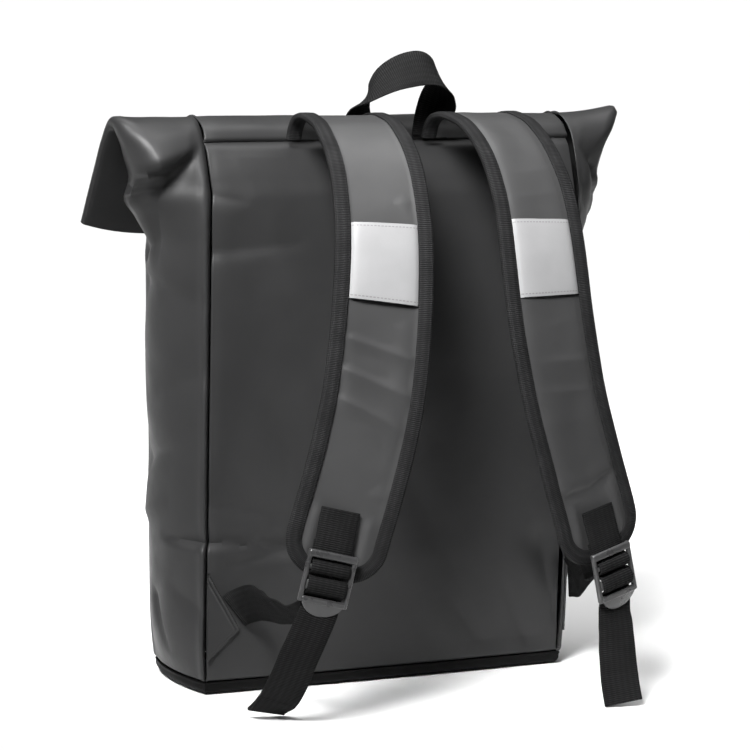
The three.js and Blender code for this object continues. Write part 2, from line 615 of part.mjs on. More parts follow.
// Half the width of the padding between the binding's lips, closing where the lips meet round the end.
function strapRoom(frames, distance) {
  const length = frames[frames.length - 1].travelled;
  const lip = BINDING_LIP + 3 * SEAM_GAP;
  const half = strapHalf(frames, Math.min(distance, length - STRAP_END_RADIUS));
  const into = Math.max(0, distance - (length - STRAP_END_RADIUS));
  const inner = STRAP_END_RADIUS - lip;
  return half - STRAP_END_RADIUS + Math.sqrt(Math.max(0, inner ** 2 - into ** 2));
}

// How far the padding swells above the strap's edge at a place across it.
function strapSwell(frames, distance, across) {
  const length = frames[frames.length - 1].travelled;
  const fade = THREE.MathUtils.clamp((length - BINDING_LIP - 2 - distance) / STRAP_END_RADIUS, 0.01, 1);
  const share = Math.min(1, Math.abs(across) / strapRoom(frames, distance));
  return Math.max(0.03, frameAt(frames, distance).swell * fade) * Math.pow(1 - share ** 4, 0.5);
}

function strapGeometry(frames) {
  const edge = STRAP_EDGE / 2;
  const shares = [-1, -0.86, -0.5, 0, 0.5, 0.86, 1];
  const sections = strapStations(frames).map((distance) => {
    const half = strapHalf(frames, distance);
    const room = strapRoom(frames, distance);
    const face = shares.map((share) => ({
      across: share * room,
      height: edge + STRAP_CROWN * strapSwell(frames, distance, share * room),
    }));
    const belly = shares.slice().reverse().map((share) => ({
      across: share * room,
      height: -edge - STRAP_BELLY * strapSwell(frames, distance, share * room),
    }));
    const outline = [{ across: -half, height: -edge }, { across: -half, height: edge }, ...face,
      { across: half, height: edge }, { across: half, height: -edge }, ...belly];
    return outline.map(({ across, height }) => strapPoint(frames, distance, across, height));
  });
  const bulge = (share) => 2 - 0.2 * share * share;
  const flat = [[-3, -1], [-3, 1], ...shares.map((x) => [x, bulge(x)]), [3, 1], [3, -1],
    ...shares.slice().reverse().map((x) => [x, -bulge(x)])];
  return sweep(sections, capTriangles(flat));
}

// The binding: a folded tape that runs down one edge of the strap, round its end and up the other edge.
function bindingGeometry(frames) {
  const stations = strapStations(frames);
  const edgePath = [
    ...stations.map((distance) => ({ distance, across: -strapHalf(frames, distance) })),
    ...stations.slice().reverse().map((distance) => ({ distance, across: strapHalf(frames, distance) })),
  ];
  const slot = STRAP_EDGE / 2 + SEAM_GAP;
  const skin = slot + BINDING_WALL;
  const outline = [
    { out: SEAM_GAP + BINDING_WALL, height: -skin },
    { out: SEAM_GAP + BINDING_WALL, height: skin },
    { out: -BINDING_LIP, height: skin },
    { out: -BINDING_LIP, height: slot },
    { out: SEAM_GAP, height: slot },
    { out: SEAM_GAP, height: -slot },
    { out: -BINDING_LIP, height: -slot },
    { out: -BINDING_LIP, height: -skin },
  ];
  const sections = edgePath.map(({ distance, across }, k) => {
    const ahead = edgePath[Math.min(k + 1, edgePath.length - 1)];
    const behind = edgePath[Math.max(k - 1, 0)];
    const run = new THREE.Vector2(ahead.across - behind.across, ahead.distance - behind.distance).normalize();
    return outline.map(({ out, height }) =>
      strapPoint(frames, distance + out * run.x, across - out * run.y, height));
  });
  return sweep(sections, capTriangles(outline.map(({ out, height }) => [out, height])));
}

// The reflective patch: a thin film over the strap's face.
function patchGeometry(frames, slant) {
  const distanceAt = (z) => frames.filter(({ row }) => row.out > 60).find(({ middle }) => middle.z <= z).travelled;
  const from = distanceAt(PATCH_TOP);
  const to = distanceAt(PATCH_BOTTOM);
  const shares = [-1, -0.86, -0.5, 0, 0.5, 0.86, 1];
  const rows = [0, 0.2, 0.4, 0.6, 0.8, 1];
  const layer = (lift) => rows.map((t) => {
    const level = THREE.MathUtils.lerp(from, to, t);
    const room = strapRoom(frames, level);
    return shares.map((share) => {
      const distance = level + slant * share * room;
      const height = STRAP_EDGE / 2 + STRAP_CROWN * strapSwell(frames, distance, share * room) + lift;
      return strapPoint(frames, distance, share * room, height);
    });
  });
  return slab(layer(2 * SEAM_GAP + PATCH_THICK), layer(2 * SEAM_GAP));
}

// A flat ribbon along stations that each hold a point and the direction of its width.
function ribbonGeometry(stations, width, thick, perStep) {
  const curve = new THREE.CatmullRomCurve3(stations.map(({ point }) => point), false, "centripetal");
  const steps = (stations.length - 1) * perStep;
  const points = Array.from({ length: steps + 1 }, (_, k) => curve.getPoint(k / steps));
  const sections = points.map((point, k) => {
    const at = k / perStep;
    const i = Math.min(Math.floor(at), stations.length - 2);
    const direction = points[Math.min(k + 1, steps)].clone().sub(points[Math.max(k - 1, 0)]).normalize();
    const across = stations[i].width.clone().lerp(stations[i + 1].width, at - i);
    across.addScaledVector(direction, -across.dot(direction)).normalize();
    const face = across.clone().cross(direction);
    const corner = (w, t) => point.clone().addScaledVector(across, (w * width) / 2).addScaledVector(face, (t * thick) / 2);
    return [corner(-1, -1), corner(1, -1), corner(1, 1), corner(-1, 1)];
  });
  return sweep(sections, [[0, 1, 2], [0, 2, 3]], [2]);
}

function widthDirection(roll, yaw) {
  return vec(Math.cos(radians(roll)) * Math.cos(radians(yaw)),
    -Math.cos(radians(roll)) * Math.sin(radians(yaw)), Math.sin(radians(roll)));
}

const station = (row) => ({
  point: vec(row.x, BACK_PLANE - row.out, row.z),
  width: widthDirection(row.roll, row.yaw),
});

// The ladder-lock's own frame: its middle, width, up and outward directions.
function buckleFrame(side) {
  const place = BUCKLES[side];
  const sign = side === "left" ? 1 : -1;
  const width = widthDirection(-sign * place.roll, sign * place.yaw);
  const up = vec(sign * Math.sin(radians(place.roll)), 0, Math.cos(radians(place.roll)));
  up.addScaledVector(width, -up.dot(width)).normalize();
  return { origin: vec(place.x, BACK_PLANE - place.out, place.z), width, up, out: width.clone().cross(up) };
}

const lockPoint = (frame, up, out) =>
  frame.origin.clone().addScaledVector(frame.up, up).addScaledVector(frame.out, out);

// The buckle as rails, bars and a lift tab, joined into one moulding.
function buckleGeometry() {
  const inside = BUCKLE_WIDTH / 2 - BUCKLE_RAIL;
  const box = (width, height, depth, x, y, z) => new THREE.BoxGeometry(width, height, depth).translate(x, y, z);
  const lastBar = BUCKLE_BARS[BUCKLE_BARS.length - 1];
  const lowest = lastBar.up - lastBar.half;
  const railHeight = BUCKLE_BARS[0].half - lowest;
  const rails = [-1, 1].map((sign) => box(BUCKLE_RAIL, railHeight, BUCKLE_THICK,
    sign * (BUCKLE_WIDTH - BUCKLE_RAIL) / 2, BUCKLE_BARS[0].half - railHeight / 2, 0));
  const bars = BUCKLE_BARS.map(({ up, half, behind, front }) =>
    new THREE.CylinderGeometry(1, 1, 2 * inside + BUCKLE_RAIL, 10)
      .rotateZ(Math.PI / 2).scale(1, half, (behind + front) / 2).translate(0, up, (front - behind) / 2));
  const outline = new THREE.Shape();
  outline.moveTo(-inside - 1, lowest + 3);
  outline.quadraticCurveTo(-inside, LIFT_TAB_TIP, 0, LIFT_TAB_TIP);
  outline.quadraticCurveTo(inside, LIFT_TAB_TIP, inside + 1, lowest + 3);
  const tab = new THREE.ExtrudeGeometry(outline, { depth: 2.6, bevelEnabled: false, curveSegments: 6 })
    .translate(0, 0, 0.4);
  const joined = [...rails, ...bars, tab].map(solidOf).reduce((sum, solid) => sum.add(solid));
  return geometryOf(joined);
}

// The corner anchor: a folded triangle that lies on one wall of the bag.
function anchorGeometry(side) {
  const { wall, lift: seat } = ANCHOR_WALLS[side];
  const [top, tip, foot] = ANCHOR_CORNERS;
  const share = (section, reach) => {
    const { half, front } = rowAt(SECTIONS, section);
    return wall === "back" ? reach / half - 1 : reach / front;
  };
  const surface = (reach, z, lift) => {
    const section = sectionAtHeight(z);
    const here = skinPoint(wall, section, share(section, reach));
    const across = skinPoint(wall, section, share(section, reach + 1)).sub(here);
    const up = skinPoint(wall, section + 0.01, share(section + 0.01, reach)).sub(here);
    return along(here, across.cross(up).normalize(), lift);
  };
  const tipShare = (top.z - tip.z) / (top.z - foot.z);
  const rows = [0, tipShare / 2, tipShare, (1 + tipShare) / 2, 1];
  const layer = (lift) => rows.map((t) => ANCHOR_REACH.map((step) => {
    const rising = Math.max(0.05, Math.min(t / tipShare, (1 - t) / (1 - tipShare)));
    const reach = THREE.MathUtils.lerp(top.reach, tip.reach, rising * step);
    return surface(reach, THREE.MathUtils.lerp(top.z, foot.z, t), lift);
  }));
  return slab(layer(seat + ANCHOR_THICK), layer(seat));
}

// The fractional section whose back wall is at a height.
function sectionAtHeight(z) {
  let low = 0;
  let high = COLLAR_SEAM;
  for (let k = 0; k < 40; k++) {
    const middle = (low + high) / 2;
    if (rowAt(SECTIONS, middle).backZ < z) low = middle;
    else high = middle;
  }
  return low;
}

// The closing strap on the outer face: sewn on the flap, over its mouth and down to the base seam.
function closureStations() {
  const lift = WEBBING_THICK / 2 + SEAM_GAP;
  const down = skinPoint("back", MOUTH, 0).sub(skinPoint("back", FLAP_START, 0)).normalize();
  const outwards = vec(0, -down.z, down.y);
  const onFlap = [-32, -16, 0, 5].map((past) =>
    along(along(skinPoint("back", MOUTH, 0), down, past), outwards, lift));
  const onFront = [296, 268, 252, 236, 220, 204, 180, 140, 100, 60, 22].map((z) => {
    const raised = CLASP_RAISE * Math.exp(-(((z - CLASP.z) / 45) ** 4));
    return along(skinPoint("front", sectionAtHeight(z), 0), vec(0, 1, 0), lift + SEAM_GAP + raised);
  });
  return [...onFlap, ...onFront].map((point) => ({ point, width: vec(1, 0, 0) }));
}

// The clasp: a plain block that the closing strap runs through.
function claspGeometry() {
  const { width, height, thick, corner, slot } = CLASP;
  const outline = new THREE.Shape();
  const x = width / 2;
  const y = height / 2;
  outline.moveTo(-x + corner, -y);
  outline.lineTo(x - corner, -y);
  outline.absarc(x - corner, -y + corner, corner, -Math.PI / 2, 0);
  outline.absarc(x - corner, y - corner, corner, 0, Math.PI / 2);
  outline.absarc(-x + corner, y - corner, corner, Math.PI / 2, Math.PI);
  outline.absarc(-x + corner, -y + corner, corner, Math.PI, 1.5 * Math.PI);
  const bevel = 1.2;
  const block = new THREE.ExtrudeGeometry(outline, {
    depth: thick - 2 * bevel, bevelEnabled: true, bevelThickness: bevel, bevelSize: bevel, bevelOffset: -bevel,
    bevelSegments: 1, curveSegments: 3,
  }).translate(0, 0, bevel);
  const through = new THREE.BoxGeometry(CLOSURE_WIDTH + 2, 2 * height, slot).translate(0, 0, CLASP.wall + slot / 2);
  return geometryOf(solidOf(block).subtract(solidOf(through)));
}

const backpack = new THREE.Group();
backpack.name = "laptop_backpack";

function addPiece(name, geometry, look) {
  const mesh = new THREE.Mesh(geometry, new THREE.MeshStandardMaterial(COLOURS[look]));
  mesh.name = name;
  backpack.add(mesh);
  return mesh;
}

// The bag.
const collarRow = ROWS.indexOf(COLLAR_SEAM);
addPiece("back_panel", wallGeometry("back", 0, collarRow), "cloth");
addPiece("collar", wallGeometry("back", collarRow, ROWS.length - 1), "cloth");
addPiece("left_gusset", wallGeometry("left", 0, ROWS.length - 1), "cloth");
addPiece("right_gusset", wallGeometry("right", 0, ROWS.length - 1), "cloth");
addPiece("front_panel", wallGeometry("front", 0, ROWS.length - 1), "cloth");
addPiece("base_panel", baseGeometry(), "base");

// The harness, one side after the other.
for (const side of ["left", "right"]) {
  const frames = strapFrames(side);
  addPiece(`${side}_shoulder_strap`, strapGeometry(frames), "strap");
  addPiece(`${side}_strap_binding`, bindingGeometry(frames), "binding");
  addPiece(`${side}_reflective_patch`, patchGeometry(frames, PATCH_SLANT[side]), "patch");
  addPiece(`${side}_corner_anchor`, anchorGeometry(side), "cloth");

  const lock = buckleFrame(side);
  const buckle = addPiece(`${side}_buckle`, buckleGeometry(), "plastic");
  buckle.quaternion.setFromRotationMatrix(new THREE.Matrix4().makeBasis(lock.width, lock.up, lock.out));
  buckle.position.copy(lock.origin);

  const inLock = (route) => route.map(({ up, out }) => ({ point: lockPoint(lock, up, out), width: lock.width }));
  addPiece(`${side}_strap_tab`, ribbonGeometry(inLock(TAB_ROUTE), WEBBING_WIDTH, WEBBING_THICK, 1), "webbing");
  const toLock = ADJUSTERS[side].map(station);
  const tail = TAILS[side].map(station);
  addPiece(`${side}_adjuster_webbing`,
    ribbonGeometry([...toLock, ...inLock(LOCK_ROUTE), ...tail], WEBBING_WIDTH, WEBBING_THICK, 2), "webbing");
}

// The haul loop.
const loopStations = LOOP_ROUTE.map(({ x, out, z, twist }, k) => {
  const before = LOOP_ROUTE[Math.max(k - 1, 0)];
  const after = LOOP_ROUTE[Math.min(k + 1, LOOP_ROUTE.length - 1)];
  const across = vec(after.z - before.z, 0, before.x - after.x).normalize();
  const width = across.multiplyScalar(Math.cos(radians(twist))).addScaledVector(vec(0, 1, 0), Math.sin(radians(twist)));
  return { point: vec(x, BACK_PLANE - out, z), width };
});
addPiece("haul_loop", ribbonGeometry(loopStations, WEBBING_WIDTH, WEBBING_THICK, 3), "webbing");

// The fastening on the outer face.
addPiece("closure_strap", ribbonGeometry(closureStations(), CLOSURE_WIDTH, WEBBING_THICK, 1), "webbing");
const clasp = addPiece("closure_clasp", claspGeometry(), "plastic");
const claspSeat = skinPoint("front", sectionAtHeight(CLASP.z), 0);
clasp.rotation.set(Math.PI / 2, Math.PI, 0, "XYZ");
clasp.position.set(0, claspSeat.y + SEAM_GAP, CLASP.z);

export default backpack;
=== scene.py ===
# %% [markdown]
# A roll-top laptop backpack of coated cloth, standing on its base with the harness towards us. The solid
# model holds its true shape, so every piece made here lies where a solid lies. What this lesson adds is
# what solids can't show: soft folds, ribbed tapes, woven webbing, light and finish.

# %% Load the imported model
import bpy
import math
import numpy as np
from mathutils import Matrix, Vector, noise


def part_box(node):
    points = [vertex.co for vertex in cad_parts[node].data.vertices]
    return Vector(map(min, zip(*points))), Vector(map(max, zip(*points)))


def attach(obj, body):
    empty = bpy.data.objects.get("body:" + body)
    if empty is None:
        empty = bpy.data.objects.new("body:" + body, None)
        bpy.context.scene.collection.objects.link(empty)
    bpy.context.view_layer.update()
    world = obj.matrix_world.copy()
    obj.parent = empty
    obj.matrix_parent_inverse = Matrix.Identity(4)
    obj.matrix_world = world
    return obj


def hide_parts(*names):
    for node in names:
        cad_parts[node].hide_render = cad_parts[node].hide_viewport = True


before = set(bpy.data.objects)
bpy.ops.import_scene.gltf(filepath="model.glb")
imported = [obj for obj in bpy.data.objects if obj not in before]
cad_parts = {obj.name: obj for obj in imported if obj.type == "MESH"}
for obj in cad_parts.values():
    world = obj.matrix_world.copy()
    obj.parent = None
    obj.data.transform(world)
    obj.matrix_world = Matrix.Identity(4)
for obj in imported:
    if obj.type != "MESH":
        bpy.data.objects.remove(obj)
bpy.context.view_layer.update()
MM = 0.001

# %% [markdown]
# The camera comes first, because every later choice is judged through it. The photograph was taken from
# the bag's left, a little above its middle, with a long lens, so edges stay parallel. A tracking
# constraint could aim the camera. Here it is set by the direction it looks from, so that it can also roll
# by a degree and a half.

# %% Camera
CAMERA_YAW = math.radians(-27)
CAMERA_PITCH = math.radians(8.54)
CAMERA_ROLL = math.radians(1.53)
CAMERA_AIM = Vector((0.0038, -0.007, 0.2277))
CAMERA_DISTANCE = 2.655
CAMERA_SENSOR = 36
CAMERA_LENS = 167.5

towards = Vector((
    math.sin(CAMERA_YAW) * math.cos(CAMERA_PITCH),
    -math.cos(CAMERA_YAW) * math.cos(CAMERA_PITCH),
    math.sin(CAMERA_PITCH),
))
level_side = Vector((0, 0, 1)).cross(towards).normalized()
level_up = towards.cross(level_side)
side = math.cos(CAMERA_ROLL) * level_side + math.sin(CAMERA_ROLL) * level_up
up = math.cos(CAMERA_ROLL) * level_up - math.sin(CAMERA_ROLL) * level_side

bpy.ops.object.select_all(action="DESELECT")
bpy.ops.object.camera_add()
camera = bpy.context.object
camera.name = "photo_camera"
camera.data.sensor_width = CAMERA_SENSOR
camera.data.lens = CAMERA_LENS
camera.matrix_world = (
    Matrix.Translation(CAMERA_AIM + towards * CAMERA_DISTANCE)
    @ Matrix((side, up, towards)).transposed().to_4x4()
)
bpy.context.scene.camera = camera
print("camera at", [round(x, 3) for x in camera.location])

# %% [markdown]
# Cloth is a sheet, and a sheet is a grid. A plane could be pulled into shape by hand, but two cloths have
# to meet exactly at a seam. So each piece of cloth starts as Blender's own grid primitive, and a small
# function then says where each of its points lies. The grid's two directions become its UV map in metres,
# so a weave or a row of stitches follows the cloth however it bends.

# %% Laying a grid
def lay_grid(name, columns, rows, place, flat):
    """A grid whose points are placed by place(u, v), with u and v from 0 to 1. flat is its size in metres."""
    bpy.ops.object.select_all(action="DESELECT")
    bpy.ops.mesh.primitive_grid_add(x_subdivisions=columns, y_subdivisions=rows, size=1, calc_uvs=True)
    piece = bpy.context.object
    piece.name = name
    mesh = piece.data
    mesh.name = name
    flat_points = np.empty(len(mesh.vertices) * 3)
    mesh.vertices.foreach_get("co", flat_points)
    flat_points = flat_points.reshape(-1, 3)
    u = flat_points[:, 0] + 0.5
    v = flat_points[:, 1] + 0.5
    points = place(u, v) * MM
    mesh.vertices.foreach_set("co", points.ravel())
    corner = np.empty(len(mesh.loops), int)
    mesh.loops.foreach_get("vertex_index", corner)
    cloth = np.stack([u[corner] * flat[0], v[corner] * flat[1]], 1)
    mesh.uv_layers[0].data.foreach_set("uv", cloth.ravel())
    mesh.update()
    return piece


print("grids are laid in units of", MM, "m")

# %% [markdown]
# A grid is only a start. A modifier gives a sheet its thickness, and a grid that was rolled up is closed
# to a tube. Every piece then ends in the same way: smooth shading that keeps its sharp edges, a finish,
# and the solid that it stands for is hidden.

# %% Finishing a piece
MERGE_DISTANCE = 0.02 * MM


def only(piece):
    """Makes one piece the selected and active object, for the operators that follow."""
    bpy.ops.object.select_all(action="DESELECT")
    piece.select_set(True)
    bpy.context.view_layer.objects.active = piece


def apply_modifier(piece, kind, **settings):
    """Adds a modifier, sets it up and applies it, so that the mesh itself has the shape."""
    only(piece)
    modifier = piece.modifiers.new(kind.lower(), kind)
    for key, value in settings.items():
        setattr(modifier, key, value)
    bpy.ops.object.modifier_apply(modifier=modifier.name)


def close_tube(piece):
    """Merges the two edges of a rolled-up grid and fills its open ends."""
    only(piece)
    bpy.ops.object.mode_set(mode="EDIT")
    bpy.ops.mesh.select_all(action="SELECT")
    bpy.ops.mesh.remove_doubles(threshold=MERGE_DISTANCE)
    bpy.ops.mesh.select_all(action="SELECT")
    bpy.ops.mesh.fill_holes(sides=0)
    bpy.ops.mesh.select_all(action="SELECT")
    bpy.ops.mesh.normals_make_consistent(inside=False)
    bpy.ops.object.mode_set(mode="OBJECT")


def settle(piece, node, finish, angle):
    """Smooth shading up to an angle, the finish, the body it rides on and the solid it stands for."""
    only(piece)
    bpy.ops.object.shade_smooth_by_angle(angle=math.radians(angle))
    piece.data.materials.clear()
    piece.data.materials.append(finish)
    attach(piece, "root")
    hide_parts(node)
    print(piece.name, "has", len(piece.data.polygons), "faces")


print("tubes are closed within", MERGE_DISTANCE / MM, "mm")

# %% [markdown]
# Soft shapes are sums of a few simple curves. They could be drawn as curve objects and sampled, but a
# formula with a name is easier to read and to change. A ramp stops at both ends, a bell dies away on both
# sides, and a rounded edge dives like a quarter of a pipe.

# %% Simple curves
def ramp(value):
    """The value, stopped at 0 and at 1."""
    return np.clip(value, 0, 1)


def soft_step(t):
    """A ramp with its two corners rounded off."""
    return t * t * (3 - 2 * t)


def bell(distance, width):
    """1 in the middle, dying away over a width on both sides."""
    return np.exp(-((distance / width) ** 2))


def rounded_edge(distance, radius):
    """How far an edge has dived: 0 from a radius away, and 1 at the edge itself."""
    return 1 - np.sqrt(1 - ramp(1 - distance / radius) ** 2)


def cubic(start, end, start_slope, end_slope, t):
    """A curve between two values that leaves and arrives at given slopes."""
    return (start * (2 * t**3 - 3 * t**2 + 1) + start_slope * (t**3 - 2 * t**2 + t)
            + end * (3 * t**2 - 2 * t**3) + end_slope * (t**3 - t**2))


def slow_noise(points, wavelength, seed):
    """Smooth noise from -1 to 1 over points in millimetres."""
    offset = Vector((seed * 7.3, seed * 3.1, seed * 1.7))
    return np.array([noise.noise(Vector(p) / wavelength + offset) for p in points.reshape(-1, 3)])


print("a bell is down to", round(float(bell(1, 1)), 2), "at its own width")

# %% [markdown]
# Pieces are also measured along lines: how long a strap is, or where a seam lies on it. A curve object
# knows its own length, but these lines are only needed for a moment. So a line is a list of points close
# together, and its length is the sum of its short steps.

# %% Measuring along a line
def unit(vectors):
    """The same directions, each brought to a length of 1."""
    return vectors / np.linalg.norm(vectors, axis=-1, keepdims=True)


def distance_along(line):
    """How far each point of a line is from its start, along the line."""
    return np.concatenate([[0], np.cumsum(np.linalg.norm(np.diff(line, axis=0), axis=1))])


def read_at(distance, known, rows):
    """Rows of numbers that belong to known distances, read at other distances."""
    return np.stack([np.interp(distance, known, column) for column in rows.T], -1)


def eased(values, at):
    """Values at fractional places in a list, by a cubic that never overshoots."""
    values = np.asarray(values, float)
    last = len(values) - 1
    at = np.clip(np.asarray(at, float), 0, last)
    step = np.diff(values)
    rising = step[:-1] * step[1:] > 0
    both = np.where(rising, step[:-1] + step[1:], 1)
    slope = np.concatenate([step[:1], np.where(rising, 2 * step[:-1] * step[1:] / both, 0), step[-1:]])
    i = np.minimum(at.astype(int), last - 1)
    return cubic(values[i], values[i + 1], slope[i], slope[i + 1], at - i)


print("halfway from 0 to 1, easing gives", float(eased([0, 0, 1, 1], 1.5)))

# %% [markdown]
# The bag's shape is a table of cross-sections, from the base seam up over the top fold and down to the
# mouth of the flap. A box with a cloth simulation could sag into such a shape, but not into the one in
# the photograph. Between the rows, every column is eased, so cloth doesn't bulge where no row says so.
# Lengths are in millimetres, and MM turns them into Blender's metres. Depths count from the back panel's
# plane and heights from the floor. The column fold goes from an open gusset (0) to one folded flat (1).

# %% The bag's sections
BACK_PLANE = -47.0
SECTION_COLUMNS = (
    "back", "back_z", "front", "front_z", "half", "ear_left", "ear_right", "fold", "back_bow", "front_bow",
)
SECTIONS = [
    (0, 10, 93, 10, 151, 7, 7, 0, 2, 3),
    (0, 40, 97, 40, 152, 13, 13, 0, 3, 4),
    (0, 130, 102, 130, 152.5, 16, 17, 0, 4, 6),
    (0, 240, 105, 240, 153, 21, 17, 0, 4, 6),
    (0, 305, 104, 305, 153.5, 26, 16, 0, 3, 4),
    (0, 333, 99, 331, 154, 28, 25, 0.08, 2.5, 2),
    (0, 352, 91, 349, 154, 38, 35, 0.2, 2, 1),
    (0.5, 368, 80, 366, 154, 50, 38, 0.4, 2, 0.5),
    (4.5, 382, 70.5, 381, 154, 47, 40, 0.55, 2, 0),
    (9.5, 396, 60.5, 395.5, 154, 52, 41, 0.7, 1.5, 0),
    (16, 410, 51, 407.5, 154, 57, 46, 0.85, 1, 0),
    (23, 418.4, 47.3, 412, 153.5, 60, 50, 0.95, 0.5, 0),
    (31, 423.8, 45.8, 414.6, 153, 61.5, 54, 1, 0, 0),
    (40, 426, 45.8, 416.2, 153, 62, 55, 1, 0, 0),
    (48.5, 424.4, 47.4, 417.2, 153, 62, 56, 1, 0, 0),
    (55.5, 419, 51.2, 415.8, 153, 62, 57, 1, 0, 0),
    (63, 408.5, 59.4, 406.1, 153, 62, 58, 1, 0, 0),
    (111, 335, 107.4, 332.7, 153, 60, 58, 1, 0, 0),
]
COLLAR_SEAM = 10
FLAP_START = 16
MOUTH = len(SECTIONS) - 1


def section_value(column, section):
    """One column of the table, at fractional sections."""
    return eased([row[SECTION_COLUMNS.index(column)] for row in SECTIONS], section)


print("the collar seam is", section_value("back_z", COLLAR_SEAM), "mm above the floor")

# %% [markdown]
# From the table, one function gives any point of the bag's outer surface. A subdivided cage could be
# modelled instead, but with one function two neighbours always share the same seam. The back and the
# front swell a little in their middle. A gusset bulges where it is open, and towards the top it folds
# outwards into a flat ear with a ridge. The corners of the flap hang a little higher than its middle.

# %% The bag's surface
RIDGE_START = 0.42
RIDGE_SPAN = 0.16
EAR_RISE = {"left": 0, "right": 6}
CORNER_LIFT = 11
UP_THE_FLAP = unit(np.array([
    0,
    section_value("back", FLAP_START) - section_value("back", MOUTH),
    section_value("back_z", FLAP_START) - section_value("back_z", MOUTH),
]))


def gusset_profile(share, fold, tip):
    """How far out and how far across a gusset is, at a share of its way from back seam to front seam."""
    turn = ramp((share - RIDGE_START) / RIDGE_SPAN) * np.pi
    reach = np.minimum(1, np.minimum(share, 1 - share) / RIDGE_START)
    on_ridge = (turn > 0) & (turn < np.pi)
    folded_out = np.where(on_ridge, 1 - tip + tip * np.sin(turn), (1 - tip) * reach)
    out = (1 - fold) * 4 * share * (1 - share) + fold * folded_out
    depth = (1 - fold) * share + fold * (1 - np.cos(turn)) / 2
    return out, depth


def skin(wall, section, share):
    """Points of the outer surface, in millimetres, by wall, fractional section and share across the wall."""
    row = {column: section_value(column, section) for column in SECTION_COLUMNS}
    nothing = np.zeros_like(section)
    back = np.stack([nothing, BACK_PLANE + row["back"], row["back_z"]], -1)
    front = np.stack([nothing, BACK_PLANE + row["front"], row["front_z"]], -1)
    depth = front - back
    span = np.linalg.norm(depth, axis=-1)
    if wall in ("back", "front"):
        swell = (1 - share**2) * (-row["back_bow"] if wall == "back" else row["front_bow"])
        points = (back if wall == "back" else front) + depth * (swell / span)[..., None]
        points[..., 0] = share * row["half"]
        return points
    sign, ear = (-1, row["ear_left"]) if wall == "left" else (1, row["ear_right"])
    out, across = gusset_profile(share, row["fold"], span / 2 / ear)
    points = back + depth * across[..., None]
    points[..., 0] = sign * (row["half"] + ear * out)
    points[..., 2] += EAR_RISE[wall] * row["fold"] * out**2
    lifted = ramp((section - FLAP_START) / (MOUTH - FLAP_START))
    return points + (CORNER_LIFT * lifted * out**2)[..., None] * UP_THE_FLAP


left_ear = skin("left", np.array([float(FLAP_START)]), np.array([0.5]))[0]
print("the left ear's tip is at", [round(x) for x in left_ear], "mm")

# %% [markdown]
# Coated cloth is stiff, so it doesn't drape in fine wrinkles: it buckles in a few clear creases. Each one
# is deepest where it starts, often at a seam, and dies out along a line, and its two flanks fall off at
# their own widths. Sculpting could draw them, but a list is quicker to compare with the photograph, one
# crease at a time.

# %% The list of creases
CREASE_COLUMNS = ("wall", "from_share", "from_z", "to_share", "to_z", "above", "below", "depth")
CREASES = [
    ("left", 0.00, 371.5, 0.15, 382, 6, 20, 1.6),
    ("left", 0.66, 322, 0.40, 334, 6, 4, 5),
    ("left", 0.66, 310, 0.42, 300, 7, 8, -2.5),
    ("left", 0.66, 306, 0.00, 291, 13, 30, 7),
    ("left", 0.00, 114, 0.46, 112.5, 11, 3, 7),
    ("left", 0.76, 166, 0.10, 188, 13, 12, 5),
    ("left", 0.10, 236, 0.66, 208, 26, 14, 3),
    ("left", 0.72, 128, 0.36, 142, 14, 12, -3.5),
    ("left", 0.66, 62, 0.40, 24, 9, 8, 4),
    ("left", 0.04, 64, 0.38, 80, 18, 12, 2.5),
    ("right", 0.40, 384, 0.08, 404, 14, 8, 6),
    ("right", 0.00, 366, 0.40, 344, 10, 10, 4),
    ("right", 0.70, 350, 0.30, 372, 8, 8, 5),
    ("right", 0.80, 190, 0.30, 205, 18, 10, 4),
    ("right", 0.20, 110, 0.70, 125, 14, 10, 4),
    ("back", -1.00, 371.5, -0.80, 366, 14, 7, 3.5),
    ("back", -1.00, 114, -0.60, 107, 11, 3, 7),
    ("back", -0.54, 107, -0.90, 96, 11, 8, 6),
    ("back", -1.00, 329, -0.48, 335, 17, 8, 3.6),
    ("back", -0.80, 384, -0.60, 330, 26, 30, -3),
    ("back", -0.92, 141, -0.45, 128, 24, 10, 3.5),
    ("back", 0.05, 160, 0.50, 40, 40, 26, 4),
    ("back", 0.56, 20, 0.30, 66, 14, 12, 3),
    ("back", 0.80, 20, 0.62, 74, 13, 11, 3),
    ("back", 1.00, 330, 0.76, 342, 10, 8, 3),
    ("back", 0.86, 95, 0.98, 30, 16, 12, 3.5),
    ("front", -0.96, 300, -0.60, 286, 12, 8, 4),
    ("front", 0.96, 280, 0.55, 296, 12, 8, 4),
    ("front", 0.30, 90, 0.80, 60, 20, 12, 4),
    ("front", -0.20, 120, -0.75, 70, 24, 12, 4),
]
print("the walls have", len(CREASES), "creases")

# %% [markdown]
# One crease is a narrow dent along its line, with a rounded bottom and a slight lip on its lower side.
# Its flanks draw together towards its end, and a little above the collar seam all creases have died out.
# A displacement texture could do this too, but it would have to be drawn first.

# %% The shape of a crease
WALL_WIDTH = {"back": 152.0, "front": 152.0, "left": 100.0, "right": 100.0}
CREASE_ROUNDING = 0.3
CREASE_LIP = 0.3
CREASE_TAPER = 0.5
CREASE_FADE = 0.7
CREASES_STOP, CREASES_STOP_SPAN = COLLAR_SEAM + 1.6, 1.2


